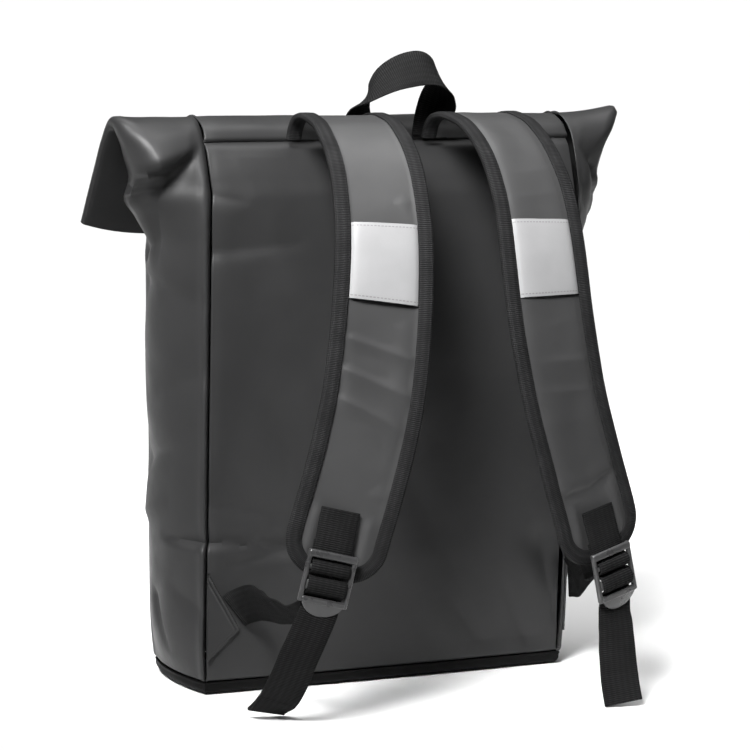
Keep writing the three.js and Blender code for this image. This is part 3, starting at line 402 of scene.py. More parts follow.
def crease_height(wall, section, share, z):
    """How far the creases push the cloth out (positive) or in (negative), in millimetres."""
    height = np.zeros_like(z)
    for row in CREASES:
        crease = dict(zip(CREASE_COLUMNS, row))
        if crease["wall"] != wall:
            continue
        start = np.array([crease["from_share"] * WALL_WIDTH[wall], crease["from_z"]])
        run = np.array([crease["to_share"] * WALL_WIDTH[wall], crease["to_z"]]) - start
        length = np.linalg.norm(run)
        here = np.stack([share * WALL_WIDTH[wall], z], -1) - start
        gone = here @ run / length
        aside = (here @ np.array([-run[1], run[0]]) / length) * np.sign(run[0])
        left_to_go = ramp(1 - gone / length)
        flank = np.where(aside > 0, crease["above"], crease["below"])
        away = np.abs(aside) / (flank * (1 - CREASE_TAPER + CREASE_TAPER * left_to_go))
        dent = np.exp(CREASE_ROUNDING - np.hypot(away, CREASE_ROUNDING))
        lip = np.where(aside < 0, CREASE_LIP * away * np.exp(1 - away), 0)
        fade = left_to_go**CREASE_FADE * bell(np.minimum(gone, 0), crease["above"])
        height -= crease["depth"] * (dent - lip) * fade
    return height * ramp((CREASES_STOP - section) / CREASES_STOP_SPAN)


print("creases end at section", CREASES_STOP)

# %% [markdown]
# The left ear is where the cloth is folded double, so its upper half hangs out over a slanting valley,
# and its corner is drawn to a point. A crease from the list would be too weak for such an overhang. So
# the cloth above the valley is pushed towards the harness side, and the cloth below it is tucked in.

# %% The left ear's fold
FOLD_WAY = np.array([-0.45, -0.89, 0.0])
VALLEY_START, VALLEY_RUN = 124.0, 54.0
EAR_NOTCH_Z, EAR_TOP_Z = 365.0, 430.0
VALLEY_RISE, VALLEY_BEND = 41.5, 1.65
UNDERSIDE_LEAST, UNDERSIDE_MORE, UNDERSIDE_LEAN = 3, 15, 1.2
OVERHANG, TUCK_SHARE, TUCK_FADE = 1.1, 0.22, 30
VALLEY_MOUTH = 0.15
FOLD_LAST_SHARE, FOLD_SHARE_SPAN = 0.62, 0.12
FOLD_LAST_SECTION, FOLD_SECTION_SPAN = COLLAR_SEAM + 2.4, 1.8
PULL_WAY = np.array([-0.2, 0.0, 0.55])
PULL_LENGTH, PULL_SECTION, PULL_SECTION_SPAN, PULL_SHARE_SPAN = 4.0, 13, 1.3, 0.09


def ear_fold(section, share, points):
    """How far the left ear's upper half hangs out over the slanting valley below it."""
    sideways = FOLD_WAY[1] * points[..., 0] - FOLD_WAY[0] * points[..., 1]
    into = ramp((sideways - VALLEY_START) / VALLEY_RUN)
    z = points[..., 2]
    valley = EAR_NOTCH_Z + VALLEY_RISE * (1 - into) ** VALLEY_BEND
    underside = UNDERSIDE_LEAST + UNDERSIDE_MORE * np.sin(np.pi * into**UNDERSIDE_LEAN)
    rise = soft_step(ramp((z - valley) / underside))
    hang = ramp((EAR_TOP_Z - z) / (EAR_TOP_Z - valley - underside))
    tuck = np.exp(-np.maximum(valley - z, 0) / TUCK_FADE)
    fades = (ramp((FOLD_LAST_SHARE - share) / FOLD_SHARE_SPAN)
             * ramp((FOLD_LAST_SECTION - section) / FOLD_SECTION_SPAN))
    depth = OVERHANG * underside * ramp(into / VALLEY_MOUTH) * fades
    return depth * ((1 - TUCK_SHARE) * rise * hang - TUCK_SHARE * (1 - rise) * tuck)


def corner_pull(section, share):
    """How far the left ear's upper corner is drawn out to a point."""
    return PULL_LENGTH * bell(section - PULL_SECTION, PULL_SECTION_SPAN) * bell(share - 0.5, PULL_SHARE_SPAN)


print("the ear's valley rises", VALLEY_RISE, "mm from its notch")

# %% [markdown]
# Every finish is made of nodes. They could be set up by hand in the shader editor. In a script, a small
# class holds the material while it is made, with one short method for each kind of node that the bag
# needs. Woven pieces read the UV map, which is in metres, so their ribs keep their real size.

# %% A finish in the making
NOISE_ROUGHNESS = 0.55


class Finish:
    """A material with its shader, and the nodes that feed it."""

    def __init__(self, name, colour, roughness, specular):
        self.material = bpy.data.materials.new(name)
        self.material.use_nodes = True
        self.nodes = self.material.node_tree.nodes
        self.links = self.material.node_tree.links
        self.shader = self.nodes["Principled BSDF"]
        self.shader.inputs["Base Color"].default_value = (*colour, 1)
        self.shader.inputs["Roughness"].default_value = roughness
        self.shader.inputs["Specular IOR Level"].default_value = specular
        coordinates = self.nodes.new("ShaderNodeTexCoord").outputs
        self.place, self.cloth = coordinates["Object"], coordinates["UV"]

    def node(self, kind, inputs, **settings):
        """The outputs of a new node, whose inputs are numbers or the outputs of other nodes."""
        node = self.nodes.new("ShaderNode" + kind)
        for key, value in settings.items():
            setattr(node, key, value)
        for key, value in inputs.items():
            if isinstance(value, bpy.types.NodeSocket):
                self.links.new(value, node.inputs[key])
            else:
                node.inputs[key].default_value = value
        return node.outputs

    def noise(self, scale, detail):
        """A noise over the whole piece."""
        inputs = {"Vector": self.place, "Scale": scale, "Detail": detail, "Roughness": NOISE_ROUGHNESS}
        return self.node("TexNoise", inputs)["Fac"]

    def spread(self, value, low, high, from_low=0.3, from_high=0.7):
        """A value stretched to a new range."""
        inputs = {"Value": value, "From Min": from_low, "From Max": from_high, "To Min": low, "To Max": high}
        return self.node("MapRange", inputs)["Result"]

    def mix(self, factor, first, second):
        """A colour between two others, each a colour or an output."""
        first, second = (c if isinstance(c, bpy.types.NodeSocket) else (*c, 1) for c in (first, second))
        return self.node("Mix", {"Factor": factor, "A": first, "B": second}, data_type="RGBA")["Result"]

    def bump(self, height, distance, strength, below=None):
        """A bump from a height, on top of an earlier one."""
        inputs = {"Height": height, "Distance": distance, "Strength": strength}
        if below is not None:
            inputs["Normal"] = below
        return self.node("Bump", inputs)["Normal"]

    def reckon(self, operation, first, second=0.0):
        """One step of arithmetic on outputs or numbers."""
        return self.node("Math", {0: first, 1: second}, operation=operation)["Value"]

    def ribs(self, turned, period):
        """Ribs that repeat along the cloth's first direction (0 degrees) or its second (90 degrees)."""
        inputs = {"Vector": self.cloth, "Rotation": (0, 0, math.radians(turned))}
        inputs = {"Vector": self.node("Mapping", inputs)["Vector"], "Scale": math.pi / (10 * period)}
        return self.node("TexWave", inputs, wave_type="BANDS", bands_direction="X", wave_profile="SIN")["Fac"]

    def dress(self, colour, roughness, normal):
        """Feeds the shader and gives the finished material."""
        for key, value in (("Base Color", colour), ("Roughness", roughness), ("Normal", normal)):
            self.links.new(value, self.shader.inputs[key])
        return self.material


print("every noise in a finish has a roughness of", NOISE_ROUGHNESS)

# %% [markdown]
# Three kinds of finish cover the whole bag: coated cloth, woven tape or webbing, and moulded plastic.
# Each is a function of a dark and a pale colour, so that the bag, the straps and the base differ only by
# their values. The coated cloth has a fine grain over slow dents, a sheen that changes slowly over the
# surface, and a colour that is never quite even.

# %% Finishes
def coated_cloth(name, colour, pale, roughness, specular):
    """Cloth with a rubbery coat."""
    finish = Finish(name, colour, roughness, specular)
    patchy = finish.mix(finish.spread(finish.noise(scale=9, detail=4), 0, 1), colour, pale)
    rubbed = finish.spread(finish.noise(scale=34, detail=5), roughness - 0.07, roughness + 0.09)
    dents = finish.bump(finish.noise(scale=70, detail=3), distance=1.2 * MM, strength=0.16)
    grain = finish.bump(finish.noise(scale=1500, detail=2), distance=0.3 * MM, strength=0.12, below=dents)
    return finish.dress(patchy, rubbed, grain)


def woven(name, colour, pale, rib_along, rib_across, depth, roughness=0.78, specular=0.06):
    """Tape or webbing, with ribs across it and fainter ones along it. A painted highlight makes its raised
    threads paler.
    """
    finish = Finish(name, colour, roughness, specular)
    fainter = finish.spread(finish.ribs(0, rib_across), 0.55, 1, from_low=0, from_high=1)
    threads = finish.reckon("MULTIPLY", finish.ribs(90, rib_along), fainter)
    worn = finish.noise(scale=60, detail=4)
    # painted highlight: the crests of the ribs are painted paler, as if lit
    painted_rib_highlight = finish.reckon("MULTIPLY", threads, finish.spread(worn, 0.5, 1))
    rubbed = finish.spread(worn, roughness - 0.08, roughness + 0.08)
    relief = finish.bump(threads, distance=depth, strength=0.7)
    return finish.dress(finish.mix(painted_rib_highlight, colour, pale), rubbed, relief)


def moulded(name, colour, pale, roughness, specular=0.5):
    """Plain plastic from a mould, a little cloudy."""
    finish = Finish(name, colour, roughness, specular)
    cloudy = finish.noise(scale=120, detail=3)
    rubbed = finish.spread(cloudy, roughness - 0.06, roughness + 0.08)
    grain = finish.bump(finish.noise(scale=1600, detail=1), distance=0.06 * MM, strength=0.1)
    return finish.dress(finish.mix(finish.spread(cloudy, 0, 1), colour, pale), rubbed, grain)


bag_cloth = coated_cloth("bag_cloth", (0.017, 0.017, 0.0173), (0.022, 0.022, 0.0223), 0.44, 0.22)
strap_cloth = coated_cloth("strap_cloth", (0.028, 0.028, 0.0284), (0.037, 0.037, 0.0374), 0.44, 0.28)
base_cloth = coated_cloth("base_cloth", (0.002, 0.002, 0.002), (0.004, 0.004, 0.004), 0.6, 0.06)
binding_tape = woven("binding_tape", (0.004, 0.004, 0.0042), (0.034, 0.034, 0.0345),
                     rib_along=1.3 * MM, rib_across=3.2 * MM, depth=0.5 * MM)
strap_webbing = woven("strap_webbing", (0.003, 0.003, 0.003), (0.020, 0.020, 0.0204),
                      rib_along=1.5 * MM, rib_across=2.6 * MM, depth=0.45 * MM)
buckle_plastic = moulded("buckle_plastic", (0.026, 0.026, 0.0265), (0.036, 0.036, 0.0368), 0.3)
made = (bag_cloth, strap_cloth, base_cloth, binding_tape, strap_webbing, buckle_plastic)
print("finishes:", [finish.name for finish in made])

# %% [markdown]
# The walls of the bag are sewn with their edges turned in. At a seam both edges dive side by side into a
# groove. The gusset's edge stands a little proud of it as a soft lip, and the panel's edge is drawn in
# below that lip. A bevel along the edges could suggest it, but only a groove with two lips catches the
# light as a seam does. The collar's lower edge is rolled over the panel below it in the same way.

# %% The seams
GUSSETS = ("left", "right")
SEAM_SIDE_PART, SEAM_DEPTH_PART = 0.55, 0.83
SEAM_PULL = 0.4
SEAM_ROUND = 2.4
GUSSET_LIP, GUSSET_LIP_WIDTH, GUSSET_DIVE = 1.8, 4.0, 5.0
LIP_STOP, LIP_STOP_SPAN, LIP_LEAST = COLLAR_SEAM - 0.5, 2.5, 0.15
PANEL_SINK, PANEL_SINK_WIDTH, PANEL_DIVE = 1.5, 6.5, 3.5
HEM_DIVE, HEM_ROUND = 2.4, 2.6
TOP_SINK, TOP_SINK_WIDTH = 2.2, 5.0
COLLAR_ROLL, COLLAR_ROLL_WIDTH = 1.6, 9.0


def seam_shape(wall, section, to_seam):
    """How far the cloth stands out along the seam's own direction, at a distance from the seam."""
    dive = rounded_edge(to_seam, SEAM_ROUND)
    if wall in GUSSETS:
        lip = GUSSET_LIP * np.clip((LIP_STOP - section) / LIP_STOP_SPAN, LIP_LEAST, 1)
        return lip * bell(to_seam - GUSSET_LIP_WIDTH, GUSSET_LIP_WIDTH) - GUSSET_DIVE * dive
    return -PANEL_SINK * bell(to_seam, PANEL_SINK_WIDTH) - PANEL_DIVE * dive


def hem_shape(is_collar, ends_below_collar, from_low, from_top):
    """The turned-in lower edge, the collar's roll over the panel and the panel's sunken top edge."""
    shape = -HEM_DIVE * rounded_edge(from_low, HEM_ROUND)
    if ends_below_collar:
        shape -= TOP_SINK * bell(from_top, TOP_SINK_WIDTH)
    if is_collar:
        shape += COLLAR_ROLL * bell(from_low - COLLAR_ROLL_WIDTH, COLLAR_ROLL_WIDTH)
    return shape


print("a gusset's lip stands", GUSSET_LIP, "mm over its seam")

# %% [markdown]
# Before a wall is laid, three more things are needed on its surface: which way is out, which way a seam's
# edges stand, and rows that are spaced evenly along the cloth. Blender's own normals could give the
# first, but they exist only once a mesh is made. Rows and columns lie closer together near the edges,
# where the shape turns fastest.

# %% Directions and spacing on a wall
CLOTH_STEP = 2.3
FINE_ROWS = 600
BESIDE_SEAM = 0.02
NUDGE = 1e-3


def outward_way(wall, section, share):
    """The direction straight out of a wall, from its slope along and across."""
    beside = skin(wall, section, share + NUDGE) - skin(wall, section, share - NUDGE)
    higher, lower = np.minimum(section + NUDGE, MOUTH), np.maximum(section - NUDGE, 0)
    outward = np.cross(beside, skin(wall, higher, share) - skin(wall, lower, share))
    outward /= np.maximum(np.linalg.norm(outward, axis=-1, keepdims=True), 1e-9)
    return -outward if wall in ("front", "left") else outward


def seam_way(wall, points, share):
    """The direction in which both edges of the nearest seam stand out together."""
    near_front = share > 0.5 if wall in GUSSETS else np.full(len(share), wall == "front")
    frontwards = np.where(near_front, 1, -1)
    sideways = np.sign(points[..., 0])
    if wall == "right":
        sideways = sideways * frontwards
    return np.stack([SEAM_SIDE_PART * sideways, SEAM_DEPTH_PART * frontwards, np.zeros(len(share))], -1)


def rows_by_length(wall, first, last):
    """Fractional sections spaced evenly along the cloth, and the cloth's length."""
    fine = np.linspace(first, last, FINE_ROWS)
    line = skin(wall, fine, np.full(FINE_ROWS, BESIDE_SEAM if wall in GUSSETS else 0.0))
    travelled = distance_along(line)
    count = int(round(travelled[-1] / CLOTH_STEP))
    return np.interp(np.linspace(0, travelled[-1], count + 1), travelled, fine), travelled[-1]


def closer_at_ends(t, by):
    """Even steps from 0 to 1, drawn together at both ends."""
    return t - by * np.sin(2 * np.pi * t) / (2 * np.pi)


print("the back panel is", round(rows_by_length("back", 0, COLLAR_SEAM)[1]), "mm long along its cloth")

# %% [markdown]
# A wall is now one grid: its place on the bag's surface, plus slack, plus creases, plus its edges. A slow
# noise gives the slack, which keeps the cloth from looking like sheet metal. A Solidify modifier then
# gives the sheet its thickness towards the inside.

# %% One wall of the bag
GRID_WIDTH = {"back": 304.0, "front": 304.0, "left": 128.0, "right": 128.0}
SIDE_CROWDING, END_CROWDING = 0.8, 0.7
SLACK_BROAD, SLACK_BROAD_WAVE, SLACK_SMALL, SLACK_SMALL_WAVE = 0.8, 70, 0.4, 26
SMALL_WAVE_SEED = 5
CALM_EDGE = 14
FLAP_CALM_SPAN, FLAP_CALM_LEAST = 3, 0.25
SEAM_REACH = 16
ROLL_MOUTH_SPAN, ROLL_FOOT, ROLL_FOOT_LEAST = 1.5, 6, 0.4


def wall_piece(name, node, wall, first, last, thickness, seed):
    """One wall as a sheet with thickness, and the size of its flat cut in metres."""
    sections, length = rows_by_length(wall, first, last)
    width = GRID_WIDTH[wall]

    def place(u, v):
        u, v = closer_at_ends(u, SIDE_CROWDING), closer_at_ends(v, END_CROWDING)
        section = np.interp(v, np.linspace(0, 1, len(sections)), sections)
        pull = SEAM_PULL / width
        across = pull + u * (1 - 2 * pull)
        share = {"back": 2 * across - 1, "front": 1 - 2 * across, "left": 1 - across, "right": across}[wall]
        points = skin(wall, section, share)
        outward, at_seam_way = outward_way(wall, section, share), seam_way(wall, points, share)
        to_seam = np.minimum(u, 1 - u) * width
        from_low, from_top = v * length, (1 - v) * length
        to_ends = np.minimum(from_low, from_top) if last < MOUTH else from_low
        calm = (ramp(np.minimum(to_seam, to_ends) / CALM_EDGE)
                * np.clip((MOUTH - section) / FLAP_CALM_SPAN, FLAP_CALM_LEAST, 1))
        slack = calm * (SLACK_BROAD * slow_noise(points, SLACK_BROAD_WAVE, seed)
                        + SLACK_SMALL * slow_noise(points, SLACK_SMALL_WAVE, seed + SMALL_WAVE_SEED))
        hem = hem_shape(first == COLLAR_SEAM, last < MOUTH, from_low, from_top)
        creased = crease_height(wall, section, share, points[..., 2]) * ramp(to_ends / CALM_EDGE)
        at_seam = ramp(1 - to_seam / SEAM_REACH)[..., None]
        crease_way = outward * (1 - at_seam) + at_seam_way * at_seam
        rolled = ramp((MOUTH - section) / ROLL_MOUTH_SPAN) * ramp(from_low / ROLL_FOOT + ROLL_FOOT_LEAST)
        seam = seam_shape(wall, section, to_seam) * rolled
        shift = crease_way * creased[..., None] + outward * (slack + hem)[..., None]
        shift += at_seam_way * seam[..., None]
        if wall == "left":
            shift += FOLD_WAY * ear_fold(section, share, points)[..., None]
            shift += PULL_WAY * corner_pull(section, share)[..., None]
        return points + shift

    piece = lay_grid(name, int(width / CLOTH_STEP), len(sections) - 1, place, (width * MM, length * MM))
    area = sum(face.area for face in piece.data.polygons)
    apply_modifier(piece, "SOLIDIFY", thickness=thickness * MM, offset=-1, use_even_offset=False)
    settle(piece, node, bag_cloth, 60)
    return piece, (area / (length * MM), length * MM)


print("a wall's rows are about", CLOTH_STEP, "mm apart")

# %% [markdown]
# The back panel is padded, so that the laptop doesn't press on the back. The other four are single
# sheets: the collar, two gussets and the outer panel with the flap's inner ply. A sheet says how it is
# held and what it rests on.

# %% The bag's walls
back_cloth, _ = wall_piece("back_panel_cloth", "back_panel", "back", 0, COLLAR_SEAM, 2.2, seed=1)
SHEETS = [
    ("collar_cloth", "collar", "back", COLLAR_SEAM, 1.2, "folded", "front_panel"),
    ("left_gusset_cloth", "left_gusset", "left", 0, 1.1, "folded", "base_panel"),
    ("right_gusset_cloth", "right_gusset", "right", 0, 1.1, "folded", "base_panel"),
    ("front_panel_cloth", "front_panel", "front", 0, 1.2, "stretched", "base_panel"),
]
for sheet_seed, (sheet_name, sheet_node, wall, first, thickness, held, carried_by) in enumerate(SHEETS, 2):
    sheet, cut_size = wall_piece(sheet_name, sheet_node, wall, first, MOUTH, thickness, sheet_seed)
    print(sheet_name, "is cut to about", [round(x, 3) for x in cut_size], "m")

# %% [markdown]
# The base is a shallow tray of black cloth. Its wall follows the bag's lowest section, a corded bead runs
# round its seam, and its underside is flat, because the bag stands on it. An extruded and bevelled
# outline could give it, but the outline has to follow the walls, so the tray's profile is carried round
# them as one grid, closed to a ring.

# %% The base
BASE_PROFILE = [
    (3.2, 4.2), (3.0, 9.2), (0.9, 9.6), (0.1, 9.5), (-0.3, 8.9), (0.0, 8.2), (0.4, 7.6), (0.6, 4.6),
    (1.7, 2.4), (3.6, 0.8), (6.2, 0.1), (7.2, 0.0),
]
BASE_STEPS = 260
BASE_TAPE_WIDTH = 0.03
BASE_WALLS = {
    "back": np.linspace(-1, 1, 120), "right": np.linspace(0, 1, 60),
    "front": np.linspace(1, -1, 120), "left": np.linspace(1, 0, 60),
}


def base_outline():
    """Points round the base seam, with the outward direction at each, and the seam's length."""
    line = np.concatenate([skin(wall, np.zeros(len(s)), s)[:-1] for wall, s in BASE_WALLS.items()])[:, :2]
    line = np.concatenate([line, line[:1]])
    travelled = distance_along(line)
    ring = read_at(np.linspace(0, travelled[-1], BASE_STEPS + 1), travelled, line)
    run = unit(np.roll(ring[:-1], -2, 0) - np.roll(ring[:-1], 2, 0))
    run = np.concatenate([run, run[:1]])
    return ring, np.stack([run[:, 1], -run[:, 0]], 1), travelled[-1]


base_ring, base_outward, base_length = base_outline()


def place_base(u, v):
    """The profile, as insets and heights, set up at each place round the ring."""
    i = np.round(u * BASE_STEPS).astype(int)
    profile = np.array(BASE_PROFILE)
    inset, height = read_at(v * (len(profile) - 1), np.arange(len(profile)), profile).T
    return np.column_stack([base_ring[i] - base_outward[i] * inset[:, None], height])


base_rows = 2 * (len(BASE_PROFILE) - 1)
base = lay_grid("base_cloth_tray", BASE_STEPS, base_rows, place_base, (base_length * MM, BASE_TAPE_WIDTH))
close_tube(base)
settle(base, "base_panel", base_cloth, 50)

# %% [markdown]
# Each shoulder strap is a long pad on a curve: out of the collar seam, over an arch, and down in front of
# the panel. A curve object with a bevel could carry it, but its pad, its binding and the patch on it have
# to share one surface. So the route is a table again, and a place on the strap is a distance along it, a
# distance across it and a height above its middle.

# %% The straps' route
STRAP_COLUMNS = ("out", "z", "half", "swell", "x_left", "turn_left", "x_right", "turn_right")
STRAP_ROUTE = [
    (-10, 411.3, 32, 0.04, 56, 0, 56, 0),
    (-6.5, 420.5, 32, 0.2, 56, 0, 56, 0),
    (2, 427.5, 32, 0.5, 56, 3, 56.5, 1),
    (14, 429.5, 32, 0.8, 55.8, 6, 57.5, 2),
    (33, 426.5, 32.3, 1, 55.8, 9, 59.5, 4),
    (55, 415.5, 32.7, 1, 56.8, 12, 61.5, 5),
    (74, 399, 33, 1, 58.5, 14, 62.5, 4),
    (88, 378, 33.6, 1, 60.5, 14, 64, 3),
    (100, 348, 34.5, 1, 63, 13, 65, 3),
    (110, 300, 35.6, 1, 68, 12, 68, 5),
    (118, 240, 36.4, 1, 77, 12, 77, 9),
    (123, 180, 36.6, 0.9, 93, 11, 93, 11),
    (124.5, 142, 36.6, 0.2, 105, 11, 105, 11),
    (125, 112, 36.6, 0.04, 113, 11, 113, 11),
]
STRAP_STEPS = 12
STRAP_END_RADIUS = 26.0
BINDING_LIP = 9.5
PAD_ROOM = STRAP_END_RADIUS - BINDING_LIP - 0.9
FOAM_TAPER = 2
LEAST_FADE, LEAST_SWELL = 0.01, 0.03


class Strap:
    """The frames along one strap, and what is measured on it."""

    def __init__(self, side):
        sign = -1 if side == "left" else 1
        last = len(STRAP_ROUTE) - 1
        at = np.linspace(0, last, STRAP_STEPS * last + 1)
        row = {name: eased(column, at) for name, column in zip(STRAP_COLUMNS, zip(*STRAP_ROUTE))}
        self.middle = np.stack([sign * row["x_" + side], BACK_PLANE - row["out"], row["z"]], 1)
        self.travelled = distance_along(self.middle)
        self.length = self.travelled[-1]
        self.half, self.swell = row["half"], row["swell"]
        self.direction = unit(np.gradient(self.middle, axis=0))
        yaw = np.radians(row["turn_" + side]) * sign
        width = np.stack([np.cos(yaw), np.sin(yaw), 0 * yaw], 1)
        self.width = unit(width - self.direction * np.sum(width * self.direction, axis=1, keepdims=True))
        self.out = np.cross(self.width, -self.direction)

    def at(self, values, distance):
        """Numbers or vectors along the strap, read at a distance."""
        if values.ndim == 1:
            return np.interp(distance, self.travelled, values)
        return read_at(distance, self.travelled, values)

    def point(self, distance, across, height):
        """A point in the bag's frame, also a little past the strap's ends."""
        beyond = distance - np.clip(distance, 0, self.length)
        return (self.at(self.middle, distance) + self.at(self.direction, distance) * beyond[..., None]
                + self.at(self.width, distance) * across[..., None]
                + self.at(self.out, distance) * height[..., None])

    def half_at(self, distance, radius=STRAP_END_RADIUS):
        """Half the strap's width. A smaller end radius gives an outline inside the strap's own."""
        into = np.maximum(0, distance - (self.length - STRAP_END_RADIUS))
        round_end = np.sqrt(np.maximum(0, radius**2 - into**2))
        return self.at(self.half, distance) - STRAP_END_RADIUS + round_end

    def room_at(self, distance):
        """Half the width that the binding leaves free."""
        return self.half_at(distance, PAD_ROOM)

    def swell_at(self, distance, across):
        """How full the foam is, from 0 at the binding to 1 in the middle."""
        fade = np.clip((self.length - BINDING_LIP - FOAM_TAPER - distance) / STRAP_END_RADIUS, LEAST_FADE, 1)
        share = np.minimum(1, np.abs(across) / self.room_at(distance))
        full = np.maximum(LEAST_SWELL, self.at(self.swell, distance) * fade)
        return full * np.sqrt(np.maximum(0, 1 - share**4))

    def distance_at_height(self, z):
        """How far along the strap a height lies, on its way down."""
        falling = np.argmax(self.middle[:, 2])
        return np.interp(-z, -self.middle[falling:, 2], self.travelled[falling:])


straps = {side_name: Strap(side_name) for side_name in ("left", "right")}
print("each strap is", round(straps["left"].length), "mm long")

# %% [markdown]
# Foam under thin coated cloth shows slanting tucks where the strap bends. They are listed by place,
# slope, flanks and height, and they fade out across the strap. A groove marks where the foam ends, and
# below it the cloth stands up in two soft strips beside the webbing tab. They could be sculpted, but a
# list is easier to compare with the photograph.

# %% The straps' tucks
TUCK_COLUMNS = ("z", "slope", "upper", "lower", "height", "centre", "reach")
TUCKS = {
    "left": [
        (374, 0.05, 3, 5, 0.9, 4, 22),
        (290, 0.12, 4, 8, 1.2, -6, 26),
        (273, 0.24, 3, 8, 3.2, -2, 36),
        (249, 0.28, 3, 9, 4.0, -2, 38),
        (227, 0.30, 3, 9, 3.2, -8, 30),
        (205, 0.28, 4, 10, 0.6, 0, 18),
    ],
    "right": [
        (392, -0.08, 3, 6, 0.6, 6, 20),
        (376, -0.06, 3, 5, 0.7, 0, 22),
        (284, -0.10, 4, 8, 0.6, 6, 18),
        (258, 0.16, 3, 8, 1.4, 8, 24),
        (236, 0.20, 3, 9, 1.3, 2, 28),
        (214, 0.18, 4, 9, 0.6, -4, 20),
    ],
}
TUCK_ROUNDING, TUCK_SINK = 0.05, 0.35
FOAM_END_Z, FOAM_END_BEND = 160.5, 0.22
GROOVE_DEPTH, GROOVE_WIDTH, GROOVE_TAPER = 3.2, 3.2, 10
FOAM_BROW, FOAM_BROW_ABOVE, FOAM_BROW_WIDTH = 0.9, 9, 7
STRIP_HEIGHT, STRIP_ACROSS, STRIP_WIDTH = 1.7, 20.5, 4.6
STRIP_START, STRIP_STOP, STRIP_STOP_SPAN = 9, 46, 14


def tuck_height(strap, rows, distance, across):
    """How far the tucks, the groove and the foam's brow above it lift or sink the cloth."""
    height = np.zeros_like(distance)
    for row in rows:
        tuck = dict(zip(TUCK_COLUMNS, row))
        aside = distance - strap.distance_at_height(tuck["z"]) - tuck["slope"] * across
        flank = np.where(aside < 0, tuck["upper"], tuck["lower"])
        ridge = np.exp(-np.sqrt((aside / flank) ** 2 + TUCK_ROUNDING)) - TUCK_SINK
        height += bell(across - tuck["centre"], tuck["reach"]) * tuck["height"] * ridge
    past_foam = distance - strap.distance_at_height(FOAM_END_Z) + FOAM_END_BEND * np.abs(across)
    to_binding = ramp((strap.room_at(distance) - np.abs(across)) / GROOVE_TAPER)
    height -= GROOVE_DEPTH * to_binding * bell(past_foam, GROOVE_WIDTH)
    return height + FOAM_BROW * bell(past_foam + FOAM_BROW_ABOVE, FOAM_BROW_WIDTH)


def strip_height(strap, distance, across):
    """The soft strips that stand up between the tab and the binding, below the foam's end."""
    past_foam = distance - strap.distance_at_height(FOAM_END_Z)
    down = ramp(past_foam / STRIP_START) * ramp((STRIP_STOP - past_foam) / STRIP_STOP_SPAN)
    return STRIP_HEIGHT * down * bell(np.abs(across) - STRIP_ACROSS, STRIP_WIDTH)


print("tucks on each strap:", {side_name: len(rows) for side_name, rows in TUCKS.items()})

# %% [markdown]
# The pad is a grid rolled round the strap: over its face, round one edge and back along its underside. A
# voxel remesh could melt foam and cloth into one, but it would also melt a pad this thin, so the tucks
# are shaped directly on the grid. A flat flange on both sides goes into the binding.

# %% The strap pads
PAD_COLUMNS, PAD_ROWS = 88, 230
PAD_CUT_WIDTH = 4 * 0.0366
PAD_INSET, PAD_LEAST_ROOM = 0.1, 0.4
FLANGE_START = 0.84
FLAT_HEIGHT, FACE_FOAM, UNDER_FOAM, LEAST_FACE = 1, 2.9, 1.2, 0.6
RIPPLE, RIPPLE_WAVE, UNDER_RIPPLE = 0.25, 22, 0.4
RIPPLE_SEED = {"left": 12, "right": 10}
AT_EDGE = 0.999


def strap_pad(side):
    """One strap's pad, with its face, its flanges and its underside in one mesh."""
    strap = straps[side]

    def place(u, v):
        distance = v * strap.length
        half = strap.half_at(distance) - PAD_INSET
        room = np.maximum(strap.room_at(distance), PAD_LEAST_ROOM)
        on_face = u <= 0.5
        share = np.where(on_face, 4 * u - 1, 3 - 4 * u)
        inside = ramp(np.abs(share) / FLANGE_START) * room
        flange = ramp((np.abs(share) - FLANGE_START) / (1 - FLANGE_START))
        across = np.sign(share) * (inside + (half - room) * flange)
        swell = strap.swell_at(distance, across)
        tucks = tuck_height(strap, TUCKS[side], distance, across) * ramp(2 * swell)
        flat = np.column_stack([distance, across, 0 * across])
        ripple = RIPPLE * slow_noise(flat, RIPPLE_WAVE, RIPPLE_SEED[side]) * swell
        face = np.maximum(LEAST_FACE, FLAT_HEIGHT + FACE_FOAM * swell + tucks + ripple)
        face += strip_height(strap, distance, across)
        under = -FLAT_HEIGHT - UNDER_FOAM * swell + UNDER_RIPPLE * ripple
        height = np.where(np.abs(share) > AT_EDGE, 0, np.where(on_face, face, under))
        return strap.point(distance, across, height)

    pad = lay_grid(f"{side}_strap_pad", PAD_COLUMNS, PAD_ROWS, place, (PAD_CUT_WIDTH, strap.length * MM))
    close_tube(pad)
    settle(pad, f"{side}_shoulder_strap", strap_cloth, 60)


for side_name in straps:
    strap_pad(side_name)

# %% [markdown]
# A woven tape is folded over each strap's edge: down one side, round the end and up the other, in one
# piece. A bevelled curve could be swept along the edge, but it would turn on its way. So a C-shaped
# section is carried along the strap's outline, always square to the strap. The ribs of the tape are in
# its finish.

# %% The strap bindings
BINDING_HALF = [(-9.5, 1.35), (-9.5, 2.2), (-9.1, 2.5), (-5, 2.65), (-0.6, 2.6), (0.9, 2.1), (1.5, 1.0)]
BINDING_INSIDE = [(0.3, -1.35), (0.3, 1.35)]
BINDING_STEP = 2.6
BINDING_CUT_WIDTH = 0.042
WOBBLE, WOBBLE_WAVE, WOBBLE_SEED, WOBBLE_ABOVE = 0.22, 17, 21, 2
STRAIGHT_STEPS, ROUND_STEPS = 200, 30


